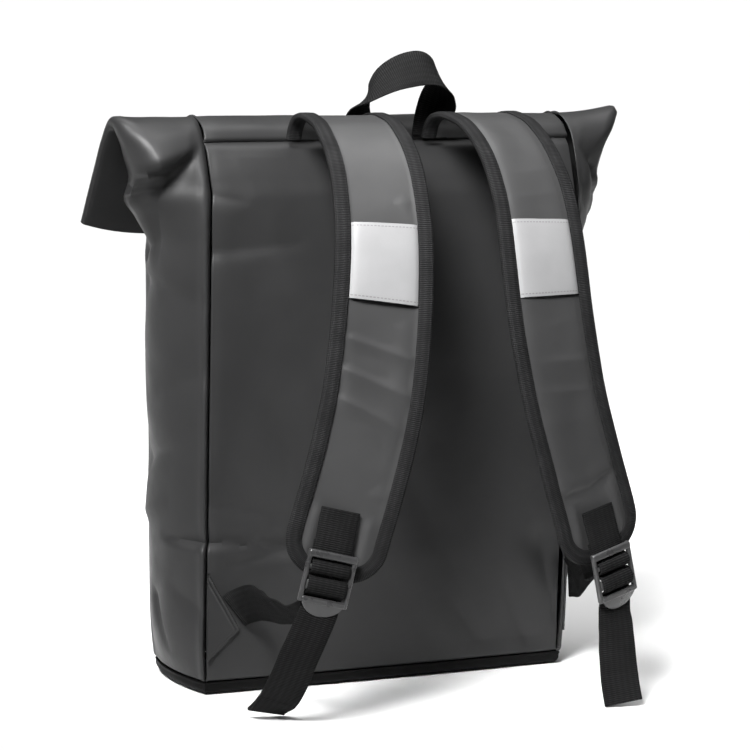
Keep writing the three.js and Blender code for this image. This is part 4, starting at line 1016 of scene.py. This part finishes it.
def strap_outline(strap):
    """Places along the strap's edge, from its left root round the end to its right root, and their length."""
    straight = np.linspace(0, strap.length - STRAP_END_RADIUS, STRAIGHT_STEPS)
    angle = np.radians(np.linspace(0, 90, ROUND_STEPS))[1:]
    rounded = strap.length - STRAP_END_RADIUS + STRAP_END_RADIUS * np.sin(angle)
    distance = np.concatenate([straight, rounded])
    across = strap.half_at(distance)
    path = np.concatenate([np.column_stack([distance, -across]), np.column_stack([distance, across])[::-1]])
    travelled = distance_along(path)
    even = np.linspace(0, travelled[-1], int(travelled[-1] / BINDING_STEP) + 1)
    return read_at(even, travelled, path), travelled[-1]


def strap_binding(side):
    """One strap's binding, as a rolled-up grid along the strap's outline."""
    strap = straps[side]
    path, length = strap_outline(strap)
    run = unit(np.gradient(path, axis=0))
    lower_half = [(out, -height) for out, height in reversed(BINDING_HALF)]
    section = np.array(BINDING_HALF + lower_half + BINDING_INSIDE + BINDING_HALF[:1])

    def place(u, v):
        k = np.round(v * (len(path) - 1)).astype(int)
        i = np.round(u * (len(section) - 1)).astype(int)
        out, height = section[i, 0], section[i, 1]
        along_edge = np.column_stack([k * BINDING_STEP, 0 * k, 0 * k])
        wobble = WOBBLE * slow_noise(along_edge, WOBBLE_WAVE, WOBBLE_SEED)
        lift = np.where(np.abs(height) > WOBBLE_ABOVE, wobble, 0)
        return strap.point(path[k, 0] + out * run[k, 1], path[k, 1] - out * run[k, 0], height + lift)

    cut = (BINDING_CUT_WIDTH, length * MM)
    tape = lay_grid(f"{side}_binding_tape", len(section) - 1, len(path) - 1, place, cut)
    close_tube(tape)
    settle(tape, f"{side}_strap_binding", binding_tape, 50)


for side_name in straps:
    strap_binding(side_name)

# %% [markdown]
# A reflective patch is a thin film sewn across the strap's face. Glass beads give it a soft bright face
# rather than a mirror. Modelled stitches would be about a pixel wide in the picture, so the two rows
# along its upper and lower hems are drawn in the finish, measured in the UV map.

# %% The reflective film
PATCH_CUT = (0.052, 0.057)
STITCH_FROM_EDGE, STITCH_HALF_WIDTH, STITCH_LENGTH = 2.4 * MM, 0.35 * MM, 2.8 * MM
FILM_COLOUR, FILM_DARK, FILM_PALE = (0.21, 0.21, 0.2125), (0.20, 0.20, 0.2025), (0.218, 0.218, 0.2205)
STITCH_COLOUR = (0.13, 0.13, 0.132)


def reflective_film():
    """A pale film with fine beads, and a row of stitches along its upper and its lower hem."""
    finish = Finish("reflective_film", FILM_COLOUR, 0.5, 0.25)
    cloudy = finish.noise(scale=40, detail=4)
    film = finish.mix(finish.spread(cloudy, 0, 1), FILM_DARK, FILM_PALE)
    up_the_cloth = finish.node("SeparateXYZ", {"Vector": finish.cloth})["Y"]
    from_edge = finish.reckon("PINGPONG", up_the_cloth, PATCH_CUT[1] / 2)
    off_line = finish.reckon("ABSOLUTE", finish.reckon("SUBTRACT", from_edge, STITCH_FROM_EDGE))
    on_line = finish.reckon("LESS_THAN", off_line, STITCH_HALF_WIDTH)
    threads = finish.spread(finish.ribs(0, STITCH_LENGTH), 0, 1, from_low=0.25, from_high=0.35)
    stitches = finish.reckon("MULTIPLY", on_line, threads)
    beads = finish.node("TexVoronoi", {"Vector": finish.place, "Scale": 1600})["Distance"]
    grain = finish.bump(beads, distance=0.1 * MM, strength=0.25)
    sewn = finish.bump(stitches, distance=0.4 * MM, strength=0.5, below=grain)
    return finish.dress(finish.mix(stitches, film, STITCH_COLOUR), finish.spread(cloudy, 0.36, 0.5), sewn)


patch_film = reflective_film()
print(patch_film.name, "has stitches", STITCH_LENGTH / MM, "mm long")

# %% [markdown]
# The patch itself is cut as a rectangle and sewn on while the strap is flat, so it follows the swell of
# the foam and leans by a few degrees. It is laid on the strap's own surface and thickened.

# %% The reflective patches
PATCH_TOP_Z, PATCH_BOTTOM_Z = 359.0, 305.0
PATCH_COLUMNS, PATCH_ROWS = 30, 32
PATCH_SLANT = 0.05
PATCH_OVERLAP = 0.3
PATCH_SEAT, PATCH_NARROWER = 1.75, 0.985
PUFF, PUFF_EDGE = 0.35, 5
SAG, SAG_WAVE, SAG_SEED = 0.2, 20, 31
FILM_THICKNESS = 0.5


def reflective_patch(side):
    """One patch, seated on the foam's swell, with a low puff inside its hems."""
    strap = straps[side]
    top, bottom = (strap.distance_at_height(z) for z in (PATCH_TOP_Z, PATCH_BOTTOM_Z))

    def place(u, v):
        level = bottom + (top - bottom) * v
        room = strap.room_at(level) + PATCH_OVERLAP
        across = (2 * u - 1) * room
        distance = level + PATCH_SLANT * across
        edge = np.minimum(np.minimum(u, 1 - u) * 2 * room, np.minimum(v, 1 - v) * (bottom - top))
        puff = PUFF * np.sqrt(ramp(edge / PUFF_EDGE))
        sag = SAG * slow_noise(np.column_stack([distance, across, 0 * across]), SAG_WAVE, SAG_SEED)
        foam = FACE_FOAM * strap.swell_at(distance, across * PATCH_NARROWER)
        return strap.point(distance, across, PATCH_SEAT + foam + puff + sag * puff)

    film = lay_grid(f"{side}_patch_film", PATCH_COLUMNS, PATCH_ROWS, place, PATCH_CUT)
    apply_modifier(film, "SOLIDIFY", thickness=FILM_THICKNESS * MM, offset=-1)
    settle(film, f"{side}_reflective_patch", patch_film, 60)


for side_name in straps:
    reflective_patch(side_name)

# %% [markdown]
# Webbing is a flat woven band that twists but doesn't stretch, so its route needs a direction for its
# width at every place. A curve's tilt could turn it, but tilt is measured from a direction that Blender
# picks. Here each place on the route says both where the band is and which way it lies, and a smooth line
# is drawn through them.

# %% A band's route
FINE_STEPS = 60
FEWEST_STEPS = 6


def smooth_route(points, widths, step, calm):
    """Even places on a smooth line through points: middle, width direction, face direction and length.

    The width direction is evened out over a distance of calm, if there is one.
    """
    points, widths = np.asarray(points, float), np.asarray(widths, float)
    gap = np.sqrt(np.linalg.norm(np.diff(points, axis=0), axis=1))[:, None]
    knots = np.concatenate([[0], np.cumsum(gap)])
    chord = np.diff(points, axis=0) / gap
    between = (chord[:-1] * gap[1:] + chord[1:] * gap[:-1]) / (gap[:-1] + gap[1:])
    slope = np.concatenate([chord[:1], between, chord[-1:]])
    fine = np.linspace(0, knots[-1], FINE_STEPS * len(points))
    i = np.clip(np.searchsorted(knots, fine, side="right") - 1, 0, len(points) - 2)
    t = (fine - knots[i])[:, None] / gap[i]
    line = cubic(points[i], points[i + 1], slope[i] * gap[i], slope[i + 1] * gap[i], t)
    turn = soft_step(t)
    travelled = distance_along(line)
    even = np.linspace(0, travelled[-1], max(FEWEST_STEPS, int(travelled[-1] / step)) + 1)
    middle = read_at(even, travelled, line)
    across = read_at(even, travelled, widths[i] * (1 - turn) + widths[i + 1] * turn)
    if calm:
        nearby = bell(even[:, None] - even[None, :], calm)
        across = nearby @ across / nearby.sum(1, keepdims=True)
    direction = unit(np.gradient(middle, axis=0))
    across = unit(across - direction * np.sum(across * direction, axis=1, keepdims=True))
    return middle, across, np.cross(across, direction), travelled[-1]


def turned_width(roll, yaw):
    """The width direction of a band that is rolled about the depth axis and then turned about the upright."""
    roll, yaw = math.radians(roll), math.radians(yaw)
    return (math.cos(roll) * math.cos(yaw), -math.cos(roll) * math.sin(yaw), math.sin(roll))


print("a band turned on edge has its width along", [round(x, 2) for x in turned_width(90, 0)])

# %% [markdown]
# A Solidify modifier could give a flat ribbon its thickness, but its edges would stay square. So one
# helper carries a whole section, a little rounded at its edges, along such a route. A free end is hemmed,
# which makes it double.

# %% A webbing band
WEBBING_WIDTH, WEBBING_THICK = 29.0, 1.6
EDGE_ROUND, EDGE_CUT = 0.45, 0.5
HEM_THICKER, HEM_STEP = 0.75, 1.5


def webbing_band(name, stations, width=WEBBING_WIDTH, hem=0.0, step=1.8, calm=0.0):
    """A band along a route of points and widths. hem is the length of the doubled end at its last point."""
    middle, across, face, length = smooth_route(*stations, step, calm)
    w, t = width / 2, WEBBING_THICK / 2
    upper = [(-w, EDGE_ROUND * t), (-w + EDGE_CUT, t), (-w / 2, t), (0, t), (w / 2, t), (w - EDGE_CUT, t),
             (w, EDGE_ROUND * t)]
    lower = [(out, -height) for out, height in upper]
    section = np.array(lower + upper[::-1] + lower[:1])

    def place(u, v):
        k = np.round(v * (len(middle) - 1)).astype(int)
        i = np.round(u * (len(section) - 1)).astype(int)
        doubled = 1 + HEM_THICKER * ramp((v * length - (length - hem)) / HEM_STEP) * (hem > 0)
        return middle[k] + across[k] * section[i, :1] + face[k] * (section[i, 1] * doubled)[:, None]

    band = lay_grid(name, len(section) - 1, len(middle) - 1, place, (2 * width * MM, length * MM))
    close_tube(band)
    print(name, "is", round(length), "mm long")
    return band


print("webbing is", WEBBING_WIDTH, "mm wide and", WEBBING_THICK, "mm thick")

# %% [markdown]
# Each ladder-lock hangs from a tab of webbing on the strap's face. Its own frame has a width, an up and
# an outward direction, so that the webbing's way through it can be written as heights along it and
# distances in front of it. An empty object could hold that frame, but three directions are all that is
# needed.

# %% The ladder-locks' frames
LOCKS = {
    "left": {"x": -114, "out": 133.6, "z": 128.5, "lean": 1},
    "right": {"x": 113, "out": 134.4, "z": 117, "lean": -1},
}
LOCK_ROLL, LOCK_YAW = 13, 11


def lock_frame(side):
    """A lock's origin, and its width, upward and outward directions."""
    lock = LOCKS[side]
    lean = lock["lean"]
    roll = math.radians(LOCK_ROLL)
    width = Vector(turned_width(-lean * LOCK_ROLL, lean * LOCK_YAW))
    upward = Vector((lean * math.sin(roll), 0, math.cos(roll)))
    upward = (upward - width * upward.dot(width)).normalized()
    return Vector((lock["x"], BACK_PLANE - lock["out"], lock["z"])), width, upward, width.cross(upward)


def in_lock(side, route):
    """Stations of a band from heights and distances in a lock's own frame."""
    origin, width, upward, outward = lock_frame(side)
    return [tuple(origin + upward * a + outward * b) for a, b in route], [tuple(width)] * len(route)


for lock_side in LOCKS:
    print(f"the {lock_side} lock faces", [round(x, 2) for x in lock_frame(lock_side)[3]])

# %% [markdown]
# A tab is one length of webbing, sewn to the strap's face, that goes down round the lock's thin bar and
# back under itself. A box with a loop modelled on its end would show a joint, so it is one band on one
# route: heights along the lock and distances in front of it.

# %% The strap tabs
TAB_ROUTE = [
    (33, -6.9), (26, -6.5), (16, -5.2), (8, -4.2), (0, -3.1), (-3.8, -2.2), (-5.2, 0), (-6.6, 2.2),
    (-9.5, 3.1), (-12.3, 2.1), (-13.3, 0), (-12.4, -2.2), (-9.5, -3.6), (-4, -4.6), (2, -5.4), (9, -6.6),
]
for lock_side in LOCKS:
    tab = webbing_band(f"{lock_side}_tab_band", in_lock(lock_side, TAB_ROUTE), step=0.9)
    settle(tab, f"{lock_side}_strap_tab", strap_webbing, 50)

# %% [markdown]
# The adjuster webbing leaves the corner anchor on edge, flattens as it crosses to the lock, goes over its
# third bar and down behind its lowest one, and hangs to the floor as a free tail. The two sides hang
# differently, as they do when a bag has just been put down. The routes are listed one by one, so that each
# bend can be set from the photograph.

# %% The adjuster webbing's routes
LOCK_APPROACH = {
    "left": [(-34, -6.6), (-27, -5.2), (-20, -4.2), (-17.4, -2.4), (-16.9, 0.2)],
    "right": [(-18.6, -12), (-17.2, -8), (-16.4, -4.6), (-16.1, -2.2), (-16.4, 0.2)],
}
LOCK_ROUTE = [(-18.6, 2.8), (-22.5, 3.7), (-26.4, 2.6), (-28.2, 0), (-29.6, -2.2), (-33, -3.3), (-37, -3.7)]
ADJUSTER_COLUMNS = ("x", "out", "z", "roll", "yaw")
ADJUSTERS = {
    "left": [
        (-129.9, 3.4, 63.3, -65, 0), (-127, 6, 66, -64, 0), (-124.5, 17, 71, -66, 2), (-126, 36, 76, -68, 4),
        (-128, 60, 78, -60, 8), (-128, 86, 80, -42, 11), (-124, 110, 84, -20, 11),
    ],
    "right": [
        (168.9, -20, 62, -88, 0), (166.1, -12, 64, -86, 0), (162.2, -3, 66, -82, 0),
        (156.4, 9, 68.5, -70, -4), (149, 24, 77, -58, -8), (142.5, 42, 86, -48, -9),
        (135, 66, 93.5, -34, -10), (127, 90, 97, -14, -11), (121, 111, 97.5, 6, -11),
    ],
}
TAILS = {
    "left": [
        (-123.5, 131, 88, -14, 11), (-129, 127, 70, -15, 13), (-133, 120, 53, -13, 17),
        (-134.5, 110, 36, -9, 22), (-135.5, 95, 18, -5, 27), (-136.5, 76, 5, 4, 26),
    ],
    "right": [
        (120.2, 131.4, 72, 9, -8), (121.2, 133, 58, 5, 0), (122, 135, 40, 3, 8), (124, 137, 19, 1, 13),
        (126.5, 139, 2.8, 0, 15),
    ],
}
print("stations before each lock:", {lock_side: len(rows) for lock_side, rows in ADJUSTERS.items()})

# %% [markdown]
# Each webbing is one band: the stations before its lock, those inside it and those of its tail, in one
# list. Three bands could be joined at the lock, but then their ends would show.

# %% The adjuster webbing
TAIL_HEM = 22


def loose_stations(rows):
    """Stations of a band from places and turns in the bag's frame."""
    stations = [dict(zip(ADJUSTER_COLUMNS, row)) for row in rows]
    return ([(s["x"], BACK_PLANE - s["out"], s["z"]) for s in stations],
            [turned_width(s["roll"], s["yaw"]) for s in stations])


for lock_side in LOCKS:
    stretches = [
        loose_stations(ADJUSTERS[lock_side]),
        in_lock(lock_side, LOCK_APPROACH[lock_side] + LOCK_ROUTE),
        loose_stations(TAILS[lock_side]),
    ]
    stations = [sum(part, []) for part in zip(*stretches)]
    band = webbing_band(f"{lock_side}_adjuster_band", stations, hem=TAIL_HEM, step=1.2)
    settle(band, f"{lock_side}_adjuster_webbing", strap_webbing, 50)

# %% [markdown]
# The haul loop is the same webbing, sewn flat into the collar seam at both legs. Between them it twists
# on edge and leans to the right. A torus could stand in for a loop, but not for one that twists, so it
# has a route as well, whose twist is evened out along the band.

# %% The haul loop
LOOP_COLUMNS = ("x", "out", "z", "twist")
LOOP_ROUTE = [
    (-30.5, -13.6, 411.5, 0), (-31, -12.3, 420, 8), (-30.5, -9, 433.5, 36), (-25, -2, 445, 88),
    (-13.5, 4, 456.5, 122), (0, 8, 462.5, 146), (13, 9, 464, 152), (25, 7, 459.5, 126), (32, 1, 448, 82),
    (33, -8, 434, 32), (31.5, -12.4, 421, 3), (30.5, -13.6, 411.5, 0),
]
LOOP_CALM = 9.0


def loop_stations():
    """Stations of the loop. Its width turns from level to the depth axis by the twist."""
    rows = [dict(zip(LOOP_COLUMNS, row)) for row in LOOP_ROUTE]
    points = [(r["x"], BACK_PLANE - r["out"], r["z"]) for r in rows]
    widths = []
    for k, row in enumerate(rows):
        before, after = rows[max(k - 1, 0)], rows[min(k + 1, len(rows) - 1)]
        level = Vector((after["z"] - before["z"], 0, before["x"] - after["x"])).normalized()
        twist = math.radians(row["twist"])
        widths.append(tuple(level * math.cos(twist) + Vector((0, 1, 0)) * math.sin(twist)))
    return points, widths


loop = webbing_band("haul_loop_band", loop_stations(), step=1.4, calm=LOOP_CALM)
settle(loop, "haul_loop", strap_webbing, 50)

# %% [markdown]
# A folded triangle of the bag's cloth holds each webbing at the lower corner. The left one lies on the
# back panel and the right one round the seam. A triangle extruded from a plane would be flat and stand
# off the cloth, so it is laid on the wall's own surface. Its edges are turned under, so they stand up as
# a rim.

# %% The corner anchors
ANCHOR_TOP, ANCHOR_TIP, ANCHOR_FOOT = (1.5, 93), (27.5, 49), (1.5, 26)
ANCHOR_SEATS = {"left": ("back", 0.3, "back_panel"), "right": ("right", 0.75, "right_gusset")}
ANCHOR_CUT = (0.026, 0.067)
ANCHOR_COLUMNS, ANCHOR_ROWS = 44, 60
ANCHOR_THICK, ANCHOR_OVER_WALL, ANCHOR_LEAST = 1.9, 2.0, 0.05
RIM_FOLDS, RIM_FOLD_WIDTH, RIM_UPPER, RIM_LOWER = (1.0, 4.2), 0.8, 0.9, 0.2
SLOPE_STEP = 0.5


def section_at_height(z):
    """The fractional section of the back panel at a height."""
    fine = np.linspace(0, COLLAR_SEAM, 2000)
    return np.interp(z, section_value("back_z", fine), fine)


def wall_point(wall, reach, z):
    """A point on a wall, at a distance from its seam and a height."""
    section = section_at_height(z)
    if wall == "back":
        return skin(wall, section, reach / section_value("half", section) - 1)
    return skin(wall, section, reach / section_value("front", section))


def corner_anchor(side):
    """One anchor: a triangle on its wall, with its folded rim."""
    wall, seat, carried_by = ANCHOR_SEATS[side]
    tip_fall = (ANCHOR_TOP[1] - ANCHOR_TIP[1]) / (ANCHOR_TOP[1] - ANCHOR_FOOT[1])

    def place(u, v):
        fall = 1 - v
        widening = np.minimum(fall / tip_fall, (1 - fall) / (1 - tip_fall))
        width = (ANCHOR_TIP[0] - ANCHOR_TOP[0]) * np.maximum(ANCHOR_LEAST, widening)
        reach, z = ANCHOR_TOP[0] + width * u, ANCHOR_TOP[1] + (ANCHOR_FOOT[1] - ANCHOR_TOP[1]) * fall
        here = wall_point(wall, reach, z)
        beside, above = wall_point(wall, reach + SLOPE_STEP, z), wall_point(wall, reach, z + SLOPE_STEP)
        fold = sum(bell((1 - u) * width - from_rim, RIM_FOLD_WIDTH) for from_rim in RIM_FOLDS)
        rim = np.where(fall < tip_fall, RIM_UPPER, RIM_LOWER) * fold
        return here + unit(np.cross(beside - here, above - here)) * (seat + ANCHOR_OVER_WALL + rim)[:, None]

    anchor = lay_grid(f"{side}_anchor_cloth", ANCHOR_COLUMNS, ANCHOR_ROWS, place, ANCHOR_CUT)
    apply_modifier(anchor, "SOLIDIFY", thickness=ANCHOR_THICK * MM, offset=-1)
    settle(anchor, f"{side}_corner_anchor", bag_cloth, 60)


for lock_side in LOCKS:
    corner_anchor(lock_side)

# %% [markdown]
# A ladder-lock is one plastic moulding: two rails, a flat top bar, a thin bar for the tab, a broad bar
# that the webbing goes over, and a low bar with a half-round lift tab that leans back. It could be cut
# from one plate, but bars of different heights are quicker to set one by one. Each is a cube brought to
# size and bevelled.

# %% Bars with rounded edges
LOCK_BARS = {
    "left rail": {"size": (3.4, 38, 4), "place": (-16.8, -16.2, 0), "bevel": 1.5, "segments": 4},
    "right rail": {"size": (3.4, 38, 4), "place": (16.8, -16.2, 0), "bevel": 1.5, "segments": 4},
    "top bar": {"size": (37, 5.6, 4), "place": (0, 0, 0.6), "bevel": 1.9, "segments": 5},
    "tab bar": {"size": (31, 3.8, 3), "place": (0, -9.5, 0), "bevel": 1.2, "segments": 3},
    "webbing bar": {"size": (31, 7.2, 3.6), "place": (0, -22.5, 0.2), "bevel": 1.5, "segments": 4},
    "low bar": {"size": (33, 4.4, 3.8), "place": (0, -33, 0.7), "bevel": 1.4, "segments": 3},
}


def rounded_box(size, place, bevel, segments):
    """A cube brought to size, with its edges rounded in edit mode."""
    bpy.ops.object.select_all(action="DESELECT")
    bpy.ops.mesh.primitive_cube_add(size=1)
    box = bpy.context.object
    bpy.ops.object.mode_set(mode="EDIT")
    bpy.ops.mesh.select_all(action="SELECT")
    bpy.ops.transform.resize(value=[s * MM for s in size])
    bpy.ops.transform.translate(value=[p * MM for p in place])
    bpy.ops.mesh.bevel(offset=bevel * MM, segments=segments, affect="EDGES")
    bpy.ops.object.mode_set(mode="OBJECT")
    return box


print("a ladder-lock has", len(LOCK_BARS), "bars and rails")

# %% [markdown]
# The lift tab starts as a flattened cylinder. A bisect takes away the half that would lie under the bars,
# the rest is turned back about the low bar, and its sharp edges are bevelled. Then all shapes of a lock
# are joined and moved into the lock's own frame.

# %% The ladder-locks
LIFT_TAB_SIZE, LIFT_TAB_PLACE = (32, 27, 2.6), (0, -31, 1.7)
LIFT_TAB_HINGE = (0, -31.5, 1.7)
LIFT_TAB_LEAN = -19
LIFT_TAB_BEVEL = 0.5
SHARP_EDGE = 40


def lift_tab():
    """Half a flattened disc under the low bar, leaning back a little."""
    hinge = [p * MM for p in LIFT_TAB_HINGE]
    bpy.ops.object.select_all(action="DESELECT")
    bpy.ops.mesh.primitive_cylinder_add(vertices=48, radius=0.5, depth=1)
    tab = bpy.context.object
    bpy.ops.object.mode_set(mode="EDIT")
    bpy.ops.mesh.select_all(action="SELECT")
    bpy.ops.transform.resize(value=[s * MM for s in LIFT_TAB_SIZE])
    bpy.ops.transform.translate(value=[p * MM for p in LIFT_TAB_PLACE])
    bpy.ops.mesh.bisect(plane_co=hinge, plane_no=(0, 1, 0), clear_outer=True, use_fill=True)
    bpy.ops.mesh.select_all(action="SELECT")
    bpy.ops.transform.rotate(value=math.radians(LIFT_TAB_LEAN), orient_axis="X", center_override=hinge)
    bpy.ops.mesh.select_mode(type="EDGE")
    bpy.ops.mesh.select_all(action="DESELECT")
    bpy.ops.mesh.edges_select_sharp(sharpness=math.radians(SHARP_EDGE))
    bpy.ops.mesh.bevel(offset=LIFT_TAB_BEVEL * MM, segments=2, affect="EDGES")
    bpy.ops.mesh.select_mode(type="VERT")
    bpy.ops.object.mode_set(mode="OBJECT")
    return tab


def ladder_lock(side):
    """One lock, joined from its bars and its lift tab."""
    shapes = [rounded_box(**bar) for bar in LOCK_BARS.values()] + [lift_tab()]
    bpy.ops.object.select_all(action="DESELECT")
    for shape in shapes:
        shape.select_set(True)
    bpy.context.view_layer.objects.active = shapes[0]
    bpy.ops.object.join()
    lock = bpy.context.object
    lock.name = f"{side}_ladder_lock"
    origin, width, upward, outward = lock_frame(side)
    turn = Matrix((width, upward, outward)).transposed().to_4x4()
    lock.data.transform(Matrix.Translation(origin * MM) @ turn)
    settle(lock, f"{side}_buckle", buckle_plastic, 35)


for lock_side in LOCKS:
    ladder_lock(lock_side)

# %% [markdown]
# On the outer face, one plain strap holds the roll flap down through one plain clasp. The photograph
# doesn't show them, so they stay simple. The strap is a band again: down the flap, and then down the
# front to the base.

# %% The closing strap
CLASP_Z, CLASP_RAISE, CLASP_RAISE_SPAN = 236.0, 2.0, 45
CLOSING_WIDTH = 25
CLOSING_LIFT, CLOSING_OFF_FRONT = 1.1, 0.9
FLAP_PLACES = (-32, -16, 0, 5)
FRONT_HEIGHTS = (296, 268, 252, 236, 220, 204, 180, 140, 100, 60, 22)


def middle_point(wall, section):
    """The middle of a wall at one section."""
    return skin(wall, np.array([float(section)]), np.array([0.0]))[0]


def closing_stations():
    """Stations down the flap past its mouth and down the front, raised where the clasp sits."""
    mouth = middle_point("back", MOUTH)
    down = unit(mouth - middle_point("back", FLAP_START))
    outwards = np.array([0, -down[2], down[1]])
    points = [tuple(mouth + down * past + outwards * CLOSING_LIFT) for past in FLAP_PLACES]
    for z in FRONT_HEIGHTS:
        raised = CLASP_RAISE * math.exp(-(((z - CLASP_Z) / CLASP_RAISE_SPAN) ** 4))
        here = middle_point("front", section_at_height(z))
        points.append((0, here[1] + CLOSING_LIFT + CLOSING_OFF_FRONT + raised, here[2]))
    return points, [(1, 0, 0)] * len(points)


closing = webbing_band("closing_band", closing_stations(), width=CLOSING_WIDTH)
settle(closing, "closure_strap", strap_webbing, 50)

# %% [markdown]
# The clasp takes its size and place from its solid. A bevelled box is enough, with a shallow inset on its
# outer face, which is picked by its normal.

# %% The clasp
CLASP_BEVEL = 2.2
CLASP_FRAME, CLASP_INSET = 4, 1.0
FACING_OUT = 0.99

clasp_low, clasp_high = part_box("closure_clasp")
clasp_size = (clasp_high - clasp_low) / MM
clasp_middle = (clasp_high + clasp_low) / 2 / MM
clasp = rounded_box(clasp_size, clasp_middle, CLASP_BEVEL, segments=4)
clasp.name = "closing_clasp"
only(clasp)
bpy.ops.object.mode_set(mode="EDIT")
bpy.ops.mesh.select_all(action="DESELECT")
bpy.ops.object.mode_set(mode="OBJECT")
for face in clasp.data.polygons:
    face.select = face.normal.y > FACING_OUT
bpy.ops.object.mode_set(mode="EDIT")
bpy.ops.mesh.inset(thickness=CLASP_FRAME * MM, depth=-CLASP_INSET * MM)
bpy.ops.object.mode_set(mode="OBJECT")
settle(clasp, "closure_clasp", buckle_plastic, 35)

# %% [markdown]
# A pale floor runs far behind the bag, so it is also the background. A curved backdrop would do the same,
# but a plane keeps its shadows simple. Near the bag it is a little polished, which gives the faint
# reflection of its base.

# %% The floor
FLOOR_SIZE, FLOOR_BELOW = 80, 0.0004
FLOOR_COLOUR = (0.86, 0.86, 0.86)
FLOOR_POLISH, POLISH_SHARE, POLISH_NEAR, POLISH_FAR = 0.12, 0.16, 0.3, 0.9


def pale_floor():
    """A dull white floor with a polish that fades away from the bag."""
    finish = Finish("pale_floor", FLOOR_COLOUR, 0.9, 0.0)
    uneven = finish.spread(finish.noise(scale=3, detail=3), 0.85, 0.95)
    finish.links.new(uneven, finish.shader.inputs["Roughness"])
    polish = finish.node("BsdfGlossy", {"Roughness": FLOOR_POLISH})["BSDF"]
    away = finish.node("VectorMath", {0: finish.place}, operation="LENGTH")["Value"]
    near = finish.spread(away, POLISH_SHARE, 0.0, from_low=POLISH_NEAR, from_high=POLISH_FAR)
    blend = finish.node("MixShader", {"Fac": near, 1: finish.shader.outputs["BSDF"], 2: polish})["Shader"]
    finish.links.new(blend, finish.nodes["Material Output"].inputs["Surface"])
    return finish.material


bpy.ops.object.select_all(action="DESELECT")
bpy.ops.mesh.primitive_plane_add(size=FLOOR_SIZE, location=(0, 0, -FLOOR_BELOW))
floor = bpy.context.object
floor.name = "studio_floor"
floor.data.materials.append(pale_floor())
print("the floor is", FLOOR_SIZE, "m wide")

# %% [markdown]
# A soft light stands high on the left, a broader one hangs over the straps, and a third, with its light
# kept narrow, whitens the floor behind. A sky picture could light the bag as well, but area lights are
# easier to fit to the photograph one by one. The sky stays dim, so that dark cloth keeps its depth.

# %% Light
SKY_STRENGTH = 0.04
LIGHTS = {
    "key_light": {
        "place": (-0.86, -0.84, 1.46), "aim": (-0.05, -0.12, 0.44), "size": (0.7, 0.7), "power": 7.0,
        "spread": 34,
    },
    "top_light": {
        "place": (0.15, 0.00, 1.75), "aim": (0.15, 0.00, 0.0), "size": (1.3, 1.0), "power": 4.6, "spread": 70,
    },
    "floor_light": {
        "place": (4, 8.7, 2.4), "aim": (4, 8.7, 0), "size": (22, 16.6), "power": 1340, "spread": 40,
    },
}


def soft_light(name, place, aim, size, power, spread):
    """An area light that the camera doesn't see, aimed at a point. Its spread is in degrees."""
    bpy.ops.object.light_add(type="AREA", location=place)
    light = bpy.context.object
    light.name = name
    light.data.shape = "RECTANGLE"
    light.data.size, light.data.size_y = size
    light.data.energy = power
    light.data.spread = math.radians(spread)
    light.visible_camera = False
    light.rotation_euler = (Vector(aim) - Vector(place)).to_track_quat("-Z", "Y").to_euler()
    print(name, "shines with", power, "W")


for light_name, light_values in LIGHTS.items():
    soft_light(light_name, **light_values)
world = bpy.data.worlds.new("studio_world")
bpy.context.scene.world = world
world.use_nodes = True
sky = world.node_tree.nodes["Background"]
sky.inputs["Color"].default_value = (1, 1, 1, 1)
sky.inputs["Strength"].default_value = SKY_STRENGTH
bpy.context.scene.view_settings.view_transform = "Standard"
